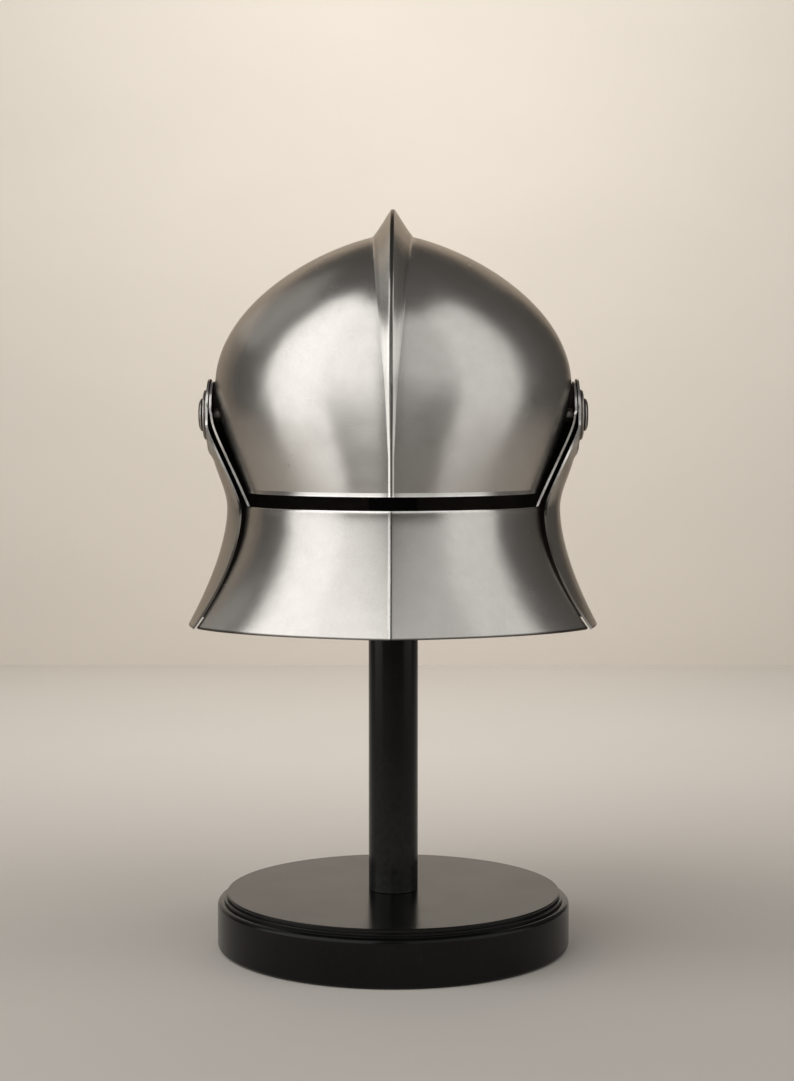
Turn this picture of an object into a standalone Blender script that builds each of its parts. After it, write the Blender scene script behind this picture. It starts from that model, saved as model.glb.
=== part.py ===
# Sallet with a hinged visor on a turned display stand.
# Metres, +Z up. The origin is the centre of the base's underside and the face looks along -Y.
# The helmet's own pieces are drawn from the middle of its pivot axis, so their heights start there.

import math

import bmesh
import bpy
from mathutils import Vector

# Stand
BASE_RADIUS = 0.114
BASE_HEIGHT = 0.0353
BASE_FOOT_ROUND = 0.003
TOP_PLATE_RADIUS = 0.108
TOP_PLATE_HEIGHT = 0.0020
STEP_HEIGHT = 0.0018
GROOVE_HEIGHT = 0.0006
GROOVE_DEPTH = 0.0007
GROOVE_EDGE = 0.0005
STEP_SETBACK_SHARE = 0.3
SHOULDER_ROUND = 0.0030
POST_RADIUS = 0.016
POST_EDGE = 0.0008
REST_RADIUS = 0.038
REST_RIM = 0.006
REST_NECK = 0.010
REST_CORNER_IN = 0.3
REST_CORNER_DROP = 0.8

# Height of the helmet's pivot axis above the floor
PIVOT_HEIGHT = 0.3435

# Gaps
SEAT_GAP = 0.0003
RUNNING_GAP = 0.0006
REST_GAP = 0.0008
ARM_CLEARANCE = 0.0008

# Skull
SKULL_HALF = 0.1145
SKULL_FRONT = 0.125
SKULL_BACK = 0.137
SKULL_WALL = 0.0018
EQUATOR_RISE = 0.0175
CROWN_RISE = 0.0975
BROW_DROP = 0.0498
SIDE_DRAW = 0.0206
FRONT_DRAW = 0.003
BACK_DRAW = 0.010
DRAW_EASE = 0.020
PLAN_POWER = 1.8
CROWN_POWER = 1.45

# Comb along the skull: full at the crown, a low ridge at the brow
COMB_HALF = 0.0130
COMB_HEIGHT = 0.0155
COMB_TOP_HALF = 0.0012
COMB_TOP_SHARE = 0.35
COMB_RISE_POWER = 1.2
RIDGE_HALF = 0.0039
RIDGE_HEIGHT = 0.0012
BROW_RIDGE_HALF = 0.0017
BROW_RIDGE_HEIGHT = 0.0008
BROW_RIDGE_SPEED = 1.5
FLANK_POWER = 1.18

# Hollow under the comb, as shares of the wall, the half width and the height
HOLLOW_WALL_SHARE = 0.8
HOLLOW_LEAST_HALF = 0.4
HOLLOW_DEPTH = 0.85

# Visor
PLATE = 0.0014
SLIT = 0.0081
VISOR_HEIGHT = 0.0736
VISOR_TOP_HALF = 0.095
VISOR_FOOT_HALF = 0.139
VISOR_TOP_FRONT = 0.118
VISOR_FOOT_FRONT = 0.133
VISOR_TOP_CREASE = 0.006
VISOR_FOOT_CREASE = 0.009
CREASE_REACH = 0.100
VISOR_TOP_EDGE_Y = 0.028
VISOR_FOOT_EDGE_Y = 0.067
FLARE_POWER = 1.8
FRONT_FLARE_POWER = 1.5
RETURN_DEPTH = 0.009
RETURN_POWER = 6
ARM_WIDTH = 0.030
ARM_EAR_RADIUS = 0.0215
ARM_FLAT_SHARE = 0.93
ARM_BEND_EASE = 0.002
ARM_LEAN_POWER = 0.8

# Neck guard
EAR_RADIUS = 0.023
GUARD_WAIST_DROP = 0.060
SIDE_DRAW_START = 0.0200
GUARD_EDGE_WAIST = 0.0962
GUARD_EDGE_EASE = 0.003
COVER_SHIFT = 0.0042
GUARD_WAIST_HALF = 0.1088
GUARD_EDGE_FOOT = 0.1226
GUARD_FOOT_HALF = 0.1290
GUARD_EDGE_WAIST_Y = 0.027
GUARD_WIDEST_Y = 0.020
EDGE_SETBACK = 0.001
EDGE_FLARE_POWER = 1.9
SIDE_FLARE_POWER = 1.85
EAR_LEAVE_SHARE = 0.6
EAR_SETTLE_SHARE = 2.2
GUARD_BACK_TOP = 0.0085
NAPE_GAP = 0.0008
TAIL_FLARE = 0.052
TAIL_DROP = 0.015
TAIL_START = 0.038
TAIL_FLARE_POWER = 1.6
TAIL_DROP_POWER = 1.5
KEEL = 0.004
KEEL_REACH = 0.045
KEEL_START_SHARE = 0.2
GUARD_POWER = 2.0

# Pivots
PIN_RADIUS = 0.0040
HOLE_RADIUS = 0.0045
WASHER_RADIUS = 0.0170
WASHER_HEIGHT = 0.0010
WASHER_EDGE = 0.0004
ROSETTE_RADIUS = 0.0160
ROSETTE_HEIGHT = 0.0015
ROSETTE_SIDE_SHARE = 0.35
ROSETTE_RIM_OUTER = 0.92
ROSETTE_RIM_INNER = 0.80
ROSETTE_DISH = 0.72
BOLT_HEAD_RADIUS = 0.0105
BOLT_FACE_RADIUS = 0.0078
BOLT_HEAD_HEIGHT = 0.0028
BOLT_SIDE_SHARE = 0.25
INNER_END_RADIUS = 0.0065
INNER_END_HEIGHT = 0.0015
INNER_END_SETBACK = 0.00066

# Nape rivets
RIVET_HEAD_RADIUS = 0.0040
RIVET_HEAD_HEIGHT = 0.0018
RIVET_SHANK_RADIUS = 0.0016
RIVET_HOLE_RADIUS = 0.0021
RIVET_TURNS = (math.radians(58.0), math.radians(76.0))
RIVET_EDGE_DISTANCE = 0.009
RIVET_INNER_SHARE = 0.8
RIVET_DOME = ((0.8, 0.6), (0.45, 0.92))

# How finely each surface is divided
COMB_COLUMNS = 4
SKULL_COLUMNS = 9
SKULL_RIBS = 20
SKIRT_ROWS = 3
VISOR_COLUMNS = 11
VISOR_ROWS = 8
ARM_COLUMNS = 4
ARM_ROWS = 7
EAR_ROWS = 6
GUARD_SIDE_COLUMNS = 9
GUARD_BACK_COLUMNS = 12
GUARD_ROWS = 15
GUARD_ROW_POWER = 1.4
BASE_SIDES = 40
ROUND_SIDES = 20
RIVET_SIDES = 8
REST_STEPS = 5
SMOOTH_ANGLE = 30.0

# Sizes that follow from those above
SKIRT_DROP = EQUATOR_RISE + BROW_DROP
VISOR_TOP_DROP = BROW_DROP + SLIT
RIM_DROP = VISOR_TOP_DROP + VISOR_HEIGHT
ARM_EAR_HALF = SKULL_HALF + ARM_CLEARANCE + PLATE
GUARD_EAR_HALF = ARM_EAR_HALF + RUNNING_GAP + PLATE
GUARD_EDGE_FOOT_Y = VISOR_FOOT_EDGE_Y + EDGE_SETBACK
STEP_RADIUS = TOP_PLATE_RADIUS + (BASE_RADIUS - TOP_PLATE_RADIUS) * STEP_SETBACK_SHARE


CENTRE = (0.0, 0.0, 0.0)
UP = (0.0, 0.0, 1.0)


def clear_scene():
    for old in list(bpy.data.objects):
        bpy.data.objects.remove(old, do_unlink=True)


def make_material(name, colour, roughness, metallic):
    made = bpy.data.materials.new(name)
    made.use_nodes = True
    shader = made.node_tree.nodes["Principled BSDF"]
    shader.inputs["Base Color"].default_value = (*colour, 1.0)
    shader.inputs["Roughness"].default_value = roughness
    shader.inputs["Metallic"].default_value = metallic
    return made


def mix(a, b, share):
    return a + (b - a) * share


def ease(share):
    share = min(1.0, max(0.0, share))
    return share * share * (3.0 - 2.0 * share)


def finish(name, bm, material, parent, place=CENTRE):
    bmesh.ops.remove_doubles(bm, verts=bm.verts, dist=1e-6)
    bmesh.ops.dissolve_degenerate(bm, edges=bm.edges, dist=1e-7)
    bmesh.ops.recalc_face_normals(bm, faces=bm.faces)
    mesh = bpy.data.meshes.new(name)
    bm.to_mesh(mesh)
    bm.free()
    mesh.materials.append(material)
    mesh.shade_smooth()
    mesh.set_sharp_from_angle(angle=math.radians(SMOOTH_ANGLE))
    made = bpy.data.objects.new(name, mesh)
    bpy.context.scene.collection.objects.link(made)
    made.parent = parent
    made.location = place
    return made


def add_grid(bm, rows):
    # rows of points, all of one length, joined by four-sided faces
    made = [[bm.verts.new(point) for point in row] for row in rows]
    for lower, upper in zip(made, made[1:]):
        for i in range(len(lower) - 1):
            bm.faces.new((lower[i], lower[i + 1], upper[i + 1], upper[i]))
    return made


def add_turned(bm, profile, sides):
    # profile of (radius, height) points, turned about Z
    # a radius of zero is a pole, and a closed profile is a ring
    rings = []
    for radius, height in profile:
        if radius == 0.0:
            rings.append([bm.verts.new((0.0, 0.0, height))])
            continue
        turns = [2.0 * math.pi * i / sides for i in range(sides)]
        rings.append([bm.verts.new((radius * math.cos(a), radius * math.sin(a), height)) for a in turns])
    for lower, upper in zip(rings, rings[1:]):
        for i in range(sides):
            j = (i + 1) % sides
            low = [lower[i % len(lower)], lower[j % len(lower)]]
            high = [upper[j % len(upper)], upper[i % len(upper)]]
            corners = list(dict.fromkeys(low + high))
            if len(corners) > 2:
                bm.faces.new(corners)
    if profile[0] == profile[-1]:
        return
    for ring in (rings[0], rings[-1]):
        if len(ring) > 2:
            bm.faces.new(ring)


# Skull


def comb_size(lift):
    # half width and height of the comb: lift is 1 at the crown, 0 at the equator and -1 at the brow
    if lift >= 0.0:
        half = mix(RIDGE_HALF, COMB_HALF, lift)
        height = mix(RIDGE_HEIGHT, COMB_HEIGHT, lift**COMB_RISE_POWER)
    else:
        half = mix(RIDGE_HALF, BROW_RIDGE_HALF, min(1.0, -BROW_RIDGE_SPEED * lift))
        height = mix(RIDGE_HEIGHT, BROW_RIDGE_HEIGHT, -lift)
    return half, height


def inner_comb_size(lift):
    half, height = comb_size(lift)
    wall = HOLLOW_WALL_SHARE * SKULL_WALL
    return max(half - wall, HOLLOW_LEAST_HALF * half), max(0.0, HOLLOW_DEPTH * (height - wall))


def comb_top(half):
    return min(COMB_TOP_HALF, COMB_TOP_SHARE * half)


def skull_column(column, comb_half, skull_half):
    # distance from the middle plane of a column: the first few divide the comb, the rest the bowl
    number = abs(column)
    if number == 0:
        x = 0.0
    elif number <= COMB_COLUMNS:
        x = mix(comb_top(comb_half), comb_half, (number - 1) / (COMB_COLUMNS - 1))
    else:
        start = math.asin(comb_half / skull_half)
        share = (number - COMB_COLUMNS) / SKULL_COLUMNS
        x = skull_half * math.sin(mix(start, math.pi / 2, share))
    return math.copysign(x, column)


def comb_bump(x, half, height):
    top = comb_top(half)
    share = max(0.0, abs(x) - top) / (half - top)
    return height * max(0.0, 1.0 - share) ** FLANK_POWER


def plan_share(share):
    return max(0.0, 1.0 - min(1.0, share) ** PLAN_POWER) ** (1.0 / PLAN_POWER)


def crown_share(share):
    return math.sqrt(max(0.0, 1.0 - min(1.0, share) ** CROWN_POWER))


def skull_upper(column, turn, inset, sizes):
    # turn goes from 0 at the brow side of the equator over the crown to half a turn at the nape side
    lift = max(0.0, math.sin(turn))
    half, height = sizes(lift)
    skull_half = SKULL_HALF - inset
    x = skull_column(column, half, skull_half)
    share = abs(x) / skull_half
    reach = (SKULL_FRONT if turn < math.pi / 2 else SKULL_BACK) - inset
    bump = comb_bump(x, half, height)
    y = -(reach * plan_share(share) + bump) * math.cos(turn)
    z = EQUATOR_RISE + ((CROWN_RISE - inset) * crown_share(share) + bump) * lift
    return x, y, z


def skirt_draw(drop):
    # how far the skirt has drawn in, as a share of its draw at the brow edge
    full = math.hypot(SKIRT_DROP, DRAW_EASE) - DRAW_EASE
    return (math.hypot(drop, DRAW_EASE) - DRAW_EASE) / full


def skirt_size(drop, inset):
    drawn = skirt_draw(drop)
    half = SKULL_HALF - inset - SIDE_DRAW * drawn
    front = SKULL_FRONT - inset - FRONT_DRAW * drawn
    back = SKULL_BACK - inset - BACK_DRAW * drawn
    return half, front, back


def skull_lower(column, side, drop, inset, sizes):
    # side is -1 in front and 1 behind
    half, height = sizes(-drop / SKIRT_DROP)
    skull_half, front, back = skirt_size(drop, inset)
    x = skull_column(column, half, skull_half)
    reach = front if side < 0 else back
    y = side * (reach * plan_share(abs(x) / skull_half) + comb_bump(x, half, height))
    return x, y, EQUATOR_RISE - drop


def add_skull_face(bm, inset, sizes):
    last = COMB_COLUMNS + SKULL_COLUMNS
    columns = range(-last, last + 1)
    ribs = [math.pi * i / SKULL_RIBS for i in range(SKULL_RIBS + 1)]
    add_grid(bm, [[skull_upper(c, turn, inset, sizes) for c in columns] for turn in ribs])
    drops = [SKIRT_DROP * i / SKIRT_ROWS for i in range(SKIRT_ROWS + 1)]
    rims = []
    for side in (-1, 1):
        rows = [[skull_lower(c, side, drop, inset, sizes) for c in columns] for drop in drops]
        rims.append(add_grid(bm, rows)[-1])
    return rims


def make_skull(material, parent):
    bm = bmesh.new()
    outer = add_skull_face(bm, 0.0, comb_size)
    inner = add_skull_face(bm, SKULL_WALL, inner_comb_size)
    for outer_rim, inner_rim in zip(outer, inner):
        for i in range(len(outer_rim) - 1):
            bm.faces.new((outer_rim[i], outer_rim[i + 1], inner_rim[i + 1], inner_rim[i]))
    return finish("skull", bm, material, parent)


# Visor


def visor_section(share):
    # half width, reach and crease of the section: share is 0 at the top edge and 1 at the foot
    half = mix(VISOR_TOP_HALF, VISOR_FOOT_HALF, share**FLARE_POWER)
    front = mix(VISOR_TOP_FRONT, VISOR_FOOT_FRONT, share**FRONT_FLARE_POWER)
    crease = mix(VISOR_TOP_CREASE, VISOR_FOOT_CREASE, share)
    return half, front, crease


def visor_point(share, turn):
    half, front, crease = visor_section(share)
    x = half * math.sin(turn)
    y = -front * math.cos(turn) - crease * max(0.0, 1.0 - abs(x) / CREASE_REACH) ** 2
    return x, y, -VISOR_TOP_DROP - VISOR_HEIGHT * share


def visor_edge_turn(share):
    return math.acos(mix(VISOR_TOP_EDGE_Y, VISOR_FOOT_EDGE_Y, share) / visor_section(share)[1])


def arm_bend(radius):
    # nothing on the flat ear, then growing with the distance from the pivot axis
    past = max(0.0, radius - ARM_FLAT_SHARE * ARM_EAR_RADIUS)
    return math.hypot(past, ARM_BEND_EASE) - ARM_BEND_EASE


def arm_half(y, z):
    # the arm's outer face is turned about the pivot axis, so that it slides in its own track
    corner = visor_point(0.0, visor_edge_turn(0.0))
    share = arm_bend(math.hypot(y, z)) / arm_bend(math.hypot(corner[1], corner[2]))
    return ARM_EAR_HALF - (ARM_EAR_HALF - corner[0]) * share**ARM_LEAN_POWER


def visor_side_rows():
    # rows from the foot up to the top of the ear, each from its front edge back, on the +X side
    steps = [i / ARM_COLUMNS for i in range(ARM_COLUMNS + 1)]
    top_y = visor_point(0.0, visor_edge_turn(0.0))[1]
    rows = []
    for i in range(VISOR_ROWS, -1, -1):
        share = i / VISOR_ROWS
        x, y, z = visor_point(share, visor_edge_turn(share))
        depth = mix(RETURN_DEPTH, ARM_WIDTH, (1.0 - share) ** RETURN_POWER)
        row = []
        for step in steps:
            lean = arm_half(top_y + depth * step, -VISOR_TOP_DROP) - arm_half(top_y, -VISOR_TOP_DROP)
            row.append((x + lean * (1.0 - share) ** 2, y + depth * step, z))
        rows.append(row)
    for i in range(1, ARM_ROWS + 1):
        share = i / ARM_ROWS
        z = -VISOR_TOP_DROP * (1.0 - share)
        front = mix(top_y, -ARM_EAR_RADIUS, share)
        back = mix(top_y + ARM_WIDTH, ARM_EAR_RADIUS, ease(share))
        rows.append([(arm_half(mix(front, back, s), z), mix(front, back, s), z) for s in steps])
    for i in range(1, EAR_ROWS + 1):
        angle = math.pi / 2 * i / EAR_ROWS
        z = ARM_EAR_RADIUS * math.sin(angle)
        reach = ARM_EAR_RADIUS * math.cos(angle)
        rows.append([(ARM_EAR_HALF, mix(-reach, reach, s), z) for s in steps])
    return rows


def make_visor(material, parent):
    bm = bmesh.new()
    shares = [i / VISOR_ROWS for i in range(VISOR_ROWS, -1, -1)]
    columns = [i / VISOR_COLUMNS for i in range(-VISOR_COLUMNS, VISOR_COLUMNS + 1)]
    add_grid(bm, [[visor_point(s, c * visor_edge_turn(s)) for c in columns] for s in shares])
    side = visor_side_rows()
    add_grid(bm, side)
    add_grid(bm, [[(-x, y, z) for x, y, z in reversed(row)] for row in side])
    return finish_sheet("visor", bm, material, parent)


def finish_sheet(name, bm, material, parent):
    # an open sheet drawn on the outer face, given its thickness inwards
    made = finish(name, bm, material, parent)
    normals = [face.normal.dot(face.center) > 0.0 for face in made.data.polygons]
    if sum(normals) * 2 < len(normals):
        made.data.flip_normals()
    wall = made.modifiers.new("wall", "SOLIDIFY")
    wall.thickness = PLATE
    wall.offset = -1.0
    wall.use_even_offset = True
    wall.use_rim = True
    return made


# Neck guard


def guard_cover(y, z):
    # the outer face of a plate that just clears the visor's arm, whose track is round the pivot axis
    radius = math.hypot(y, z)
    scale = max(0.0, 1.0 - COVER_SHIFT / max(COVER_SHIFT, radius))
    return arm_half(scale * y, scale * z) + RUNNING_GAP + PLATE


def guard_section(z):
    # front edge (half width, y), widest place (half width, y) and reach behind at this height
    drop = max(0.0, -z)
    flare = max(0.0, drop - GUARD_WAIST_DROP) / (RIM_DROP - GUARD_WAIST_DROP)
    waist = min(1.0, drop / GUARD_WAIST_DROP)
    late = (drop - SIDE_DRAW_START) / (GUARD_WAIST_DROP - SIDE_DRAW_START)
    edge_y = mix(EAR_RADIUS, GUARD_EDGE_WAIST_Y, waist)
    edge_y += (GUARD_EDGE_FOOT_Y - GUARD_EDGE_WAIST_Y) * flare
    cover = guard_cover(edge_y, z)
    edge_half = (cover + GUARD_EDGE_WAIST + math.hypot(cover - GUARD_EDGE_WAIST, GUARD_EDGE_EASE)) / 2
    edge_half += (GUARD_EDGE_FOOT - GUARD_EDGE_WAIST) * flare**EDGE_FLARE_POWER
    wide_half = mix(GUARD_EAR_HALF, GUARD_WAIST_HALF, ease(late))
    wide_half += (GUARD_FOOT_HALF - GUARD_WAIST_HALF) * flare**SIDE_FLARE_POWER
    wide_y = mix(GUARD_WIDEST_Y, -GUARD_WIDEST_Y, ease(flare))
    skirt = skirt_size(min(max(EQUATOR_RISE - z, 0.0), SKIRT_DROP), 0.0)[2]
    tail = max(0.0, drop - TAIL_START) / (RIM_DROP - TAIL_START)
    back = skirt + RIDGE_HEIGHT + NAPE_GAP + PLATE + TAIL_FLARE * tail**TAIL_FLARE_POWER
    return edge_half, -edge_y, wide_half, wide_y, back


def guard_back_point(turn, z):
    # round the back from the widest place: it follows the skull at the top edge and swings free lower down
    wide_half, wide_y, back = guard_section(z)[2:]
    free = ease((-z - SIDE_DRAW_START) / (GUARD_WAIST_DROP - SIDE_DRAW_START))
    power = mix(PLAN_POWER, GUARD_POWER, free)
    middle = wide_y * free
    y = mix(wide_y, back, math.sin(turn))
    start = (1.0 - ((wide_y - middle) / (back - middle)) ** power) ** (1.0 / power)
    share = max(0.0, 1.0 - min(1.0, (y - middle) / (back - middle)) ** power) ** (1.0 / power)
    x = wide_half * share / start
    return x, y + KEEL * max(0.0, 1.0 - x / KEEL_REACH) ** 2 * keel_share(z)


def guard_point(column, z):
    # columns run from the front edge back to the keel, on the +X side
    if column > GUARD_SIDE_COLUMNS:
        return guard_back_point(math.pi / 2 * (column - GUARD_SIDE_COLUMNS) / GUARD_BACK_COLUMNS, z)
    edge_half, edge_y, wide_half, wide_y, _ = guard_section(z)
    share = 0.5 - 0.5 * math.cos(math.pi * column / GUARD_SIDE_COLUMNS)
    y = mix(edge_y, wide_y, share)
    x = wide_half - (wide_half - edge_half) * (1.0 - share) ** 2
    return max(x, guard_cover(y, z)), y


def keel_share(z):
    return ease((-z - KEEL_START_SHARE * GUARD_WAIST_DROP) / GUARD_WAIST_DROP)


def guard_top(y):
    # the round ear, then an easy fall to the level edge behind
    leave = EAR_LEAVE_SHARE * EAR_RADIUS
    settle = EAR_SETTLE_SHARE * EAR_RADIUS
    if y <= leave:
        return math.sqrt(max(0.0, EAR_RADIUS**2 - y**2))
    high = math.sqrt(EAR_RADIUS**2 - leave**2)
    slope = -leave / high * (settle - leave)
    share = min(1.0, (y - leave) / (settle - leave))
    rest = (1.0 - share) ** 2
    return high * rest * (1.0 + 2.0 * share) + slope * share * rest + GUARD_BACK_TOP * ease(share)


def guard_foot(column):
    y = guard_point(column, -RIM_DROP)[1]
    back = guard_section(-RIM_DROP)[4]
    return -RIM_DROP - TAIL_DROP * max(0.0, y / back) ** TAIL_DROP_POWER


def make_guard(material, parent):
    last = GUARD_SIDE_COLUMNS + GUARD_BACK_COLUMNS
    half_rows = []
    for i in range(GUARD_ROWS + 1):
        row = []
        for column in range(last + 1):
            foot = guard_foot(column)
            top = guard_top(guard_point(column, 0.0)[1])
            power = mix(GUARD_ROW_POWER, 1.0, min(1.0, column / GUARD_SIDE_COLUMNS))
            z = mix(top, foot, (1.0 - i / GUARD_ROWS) ** power)
            x, y = guard_point(column, z)
            row.append((x, y, z))
        half_rows.append(row)
    bm = bmesh.new()
    rows = [row + [(-x, y, z) for x, y, z in reversed(row[:-1])] for row in half_rows]
    add_grid(bm, rows)
    return finish_sheet("neck_guard", bm, material, parent)


# Cutters, pivots and rivets


def make_cutter(name, radius, length, parent, place, direction):
    bm = bmesh.new()
    add_turned(bm, [(radius, -length / 2), (radius, length / 2)], ROUND_SIDES)
    made = finish(name, bm, bpy.data.materials["cutter"], parent, place)
    made.rotation_euler = Vector(direction).to_track_quat("Z", "Y").to_euler()
    made.hide_render = True
    made.display_type = "WIRE"
    return made


def cut(target, cutter):
    hole = target.modifiers.new(cutter.name, "BOOLEAN")
    hole.operation = "DIFFERENCE"
    hole.object = cutter


def place_turned(name, profile, sides, material, parent, place, direction):
    bm = bmesh.new()
    add_turned(bm, profile, sides)
    made = finish(name, bm, material, parent, place)
    made.rotation_euler = Vector(direction).to_track_quat("Z", "Y").to_euler()
    return made


def ring_profile(inner, outer, low, high, edge):
    return [
        (inner, low), (outer, low), (outer, high - edge), (outer - edge, high), (inner, high), (inner, low),
    ]


def make_pivot(side, hand, materials, parent):
    direction = (side, 0.0, 0.0)
    washer_low = GUARD_EAR_HALF + SEAT_GAP
    rosette_low = washer_low + WASHER_HEIGHT + SEAT_GAP
    head_low = rosette_low + ROSETTE_HEIGHT + SEAT_GAP
    washer = ring_profile(HOLE_RADIUS, WASHER_RADIUS, washer_low, washer_low + WASHER_HEIGHT, WASHER_EDGE)
    side_high = rosette_low + ROSETTE_SIDE_SHARE * ROSETTE_HEIGHT
    dish_high = rosette_low + 2.0 * ROSETTE_SIDE_SHARE * ROSETTE_HEIGHT
    rosette_high = rosette_low + ROSETTE_HEIGHT
    rosette = [
        (HOLE_RADIUS, rosette_low),
        (ROSETTE_RADIUS, rosette_low),
        (ROSETTE_RADIUS, side_high),
        (ROSETTE_RIM_OUTER * ROSETTE_RADIUS, rosette_high),
        (ROSETTE_RIM_INNER * ROSETTE_RADIUS, rosette_high),
        (ROSETTE_DISH * ROSETTE_RADIUS, dish_high),
        (HOLE_RADIUS, dish_high),
        (HOLE_RADIUS, rosette_low),
    ]
    skull_inside = skirt_size(EQUATOR_RISE + INNER_END_RADIUS, SKULL_WALL)[0]
    end_high = skull_inside - INNER_END_SETBACK
    bolt = [
        (0.0, end_high - INNER_END_HEIGHT),
        (INNER_END_RADIUS, end_high - INNER_END_HEIGHT),
        (INNER_END_RADIUS, end_high),
        (PIN_RADIUS, end_high),
        (PIN_RADIUS, head_low),
        (BOLT_HEAD_RADIUS, head_low),
        (BOLT_HEAD_RADIUS, head_low + BOLT_SIDE_SHARE * BOLT_HEAD_HEIGHT),
        (BOLT_FACE_RADIUS, head_low + BOLT_HEAD_HEIGHT),
        (0.0, head_low + BOLT_HEAD_HEIGHT),
    ]
    for part, profile in (("washer", washer), ("rosette", rosette), ("bolt", bolt)):
        name = f"pivot_{part}_{hand}"
        place_turned(name, profile, ROUND_SIDES, materials["dark"], parent, CENTRE, direction)


def nape_place(turn):
    # where a rivet meets the guard's outer face, and the way it points
    z = GUARD_BACK_TOP - RIVET_EDGE_DISTANCE
    x, y = guard_back_point(abs(turn), z)
    before = guard_back_point(abs(turn) - 0.01, z)
    outward = Vector((y - before[1], before[0] - x, 0.0)).normalized()
    side = math.copysign(1.0, turn)
    return Vector((side * x, y, z)), Vector((side * outward.x, outward.y, 0.0))


def skull_back_y(x, z):
    half, _, back = skirt_size(EQUATOR_RISE - z, SKULL_WALL)
    return back * plan_share(abs(x) / half)


def make_rivet(number, turn, skull, guard, materials, parent):
    place, direction = nape_place(turn)
    depth = (place.y - skull_back_y(place.x, place.z)) * direction.y + 2.0 * SEAT_GAP
    inner_radius = RIVET_INNER_SHARE * RIVET_HEAD_RADIUS
    rivet = [
        (0.0, -depth - RIVET_INNER_SHARE * RIVET_HEAD_HEIGHT),
        (inner_radius, -depth - RIVET_HEAD_HEIGHT / 2),
        (inner_radius, -depth - SEAT_GAP),
        (RIVET_SHANK_RADIUS, -depth - SEAT_GAP),
        (RIVET_SHANK_RADIUS, SEAT_GAP),
        (RIVET_HEAD_RADIUS, SEAT_GAP),
    ]
    rivet += [(out * RIVET_HEAD_RADIUS, up * RIVET_HEAD_HEIGHT + SEAT_GAP) for out, up in RIVET_DOME]
    rivet.append((0.0, RIVET_HEAD_HEIGHT + SEAT_GAP))
    place_turned(f"nape_rivet_{number}", rivet, RIVET_SIDES, materials["steel"], parent, place, direction)
    middle = place - direction * depth / 2
    cutter = make_cutter(f"rivet_hole_{number}", RIVET_HOLE_RADIUS, 4.0 * depth, parent, middle, direction)
    cut(skull, cutter)
    cut(guard, cutter)


# Stand


def base_profile():
    top = BASE_HEIGHT
    plate_low = top - TOP_PLATE_HEIGHT
    step_high = plate_low - GROOVE_HEIGHT
    step_low = step_high - STEP_HEIGHT
    shoulder = step_low - GROOVE_HEIGHT
    profile = [(0.0, 0.0), (BASE_RADIUS - BASE_FOOT_ROUND, 0.0)]
    profile += [
        (
            BASE_RADIUS - BASE_FOOT_ROUND * (1.0 - math.sin(angle)),
            BASE_FOOT_ROUND * (1.0 - math.cos(angle)),
        )
        for angle in (math.pi / 6, math.pi / 3, math.pi / 2)
    ]
    profile += [
        (
            BASE_RADIUS - SHOULDER_ROUND * (1.0 - math.cos(angle)),
            shoulder - SHOULDER_ROUND * (1.0 - math.sin(angle)),
        )
        for angle in (0.0, math.pi / 6, math.pi / 3, math.pi / 2)
    ]
    profile += [
        (STEP_RADIUS - GROOVE_DEPTH, shoulder),
        (STEP_RADIUS - GROOVE_DEPTH, step_low),
        (STEP_RADIUS - GROOVE_EDGE, step_low),
        (STEP_RADIUS, step_low + GROOVE_EDGE),
        (STEP_RADIUS, step_high - GROOVE_EDGE),
        (STEP_RADIUS - GROOVE_EDGE, step_high),
        (TOP_PLATE_RADIUS - GROOVE_DEPTH, step_high),
        (TOP_PLATE_RADIUS - GROOVE_DEPTH, plate_low),
        (TOP_PLATE_RADIUS, plate_low),
        (TOP_PLATE_RADIUS, top - 2.0 * GROOVE_EDGE),
        (TOP_PLATE_RADIUS - 2.0 * GROOVE_EDGE, top),
        (0.0, top),
    ]
    return profile


def crown_seat(radius):
    # height of the skull's inner face above the floor, out to the side of the comb's hollow
    inner = SKULL_HALF - SKULL_WALL
    radius = max(radius, inner_comb_size(1.0)[0])
    rise = (CROWN_RISE - SKULL_WALL) * crown_share(radius / inner)
    return PIVOT_HEIGHT + EQUATOR_RISE + rise - REST_GAP


def make_stand(materials):
    place_turned("stand_base", base_profile(), BASE_SIDES, materials["black"], None, CENTRE, UP)
    hollow = inner_comb_size(1.0)[0]
    rim_high = crown_seat(REST_RADIUS)
    rest_low = rim_high - REST_RIM - REST_NECK
    rest = [(0.0, rest_low), (POST_RADIUS, rest_low)]
    rest.append((REST_RADIUS - REST_CORNER_IN * REST_RIM, rim_high - REST_RIM))
    rest.append((REST_RADIUS, rim_high - REST_CORNER_DROP * REST_RIM))
    for i in range(REST_STEPS + 1):
        radius = mix(REST_RADIUS, hollow, i / REST_STEPS)
        rest.append((radius, crown_seat(radius)))
    rest.append((0.0, crown_seat(hollow)))
    place_turned("crown_rest", rest, ROUND_SIDES, materials["pad"], None, CENTRE, UP)
    low = BASE_HEIGHT + SEAT_GAP
    high = rest_low - SEAT_GAP
    post = [(0.0, low), (POST_RADIUS, low), (POST_RADIUS, high - POST_EDGE)]
    post += [(POST_RADIUS - POST_EDGE, high), (0.0, high)]
    place_turned("stand_post", post, 2 * ROUND_SIDES, materials["black"], None, CENTRE, UP)


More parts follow.
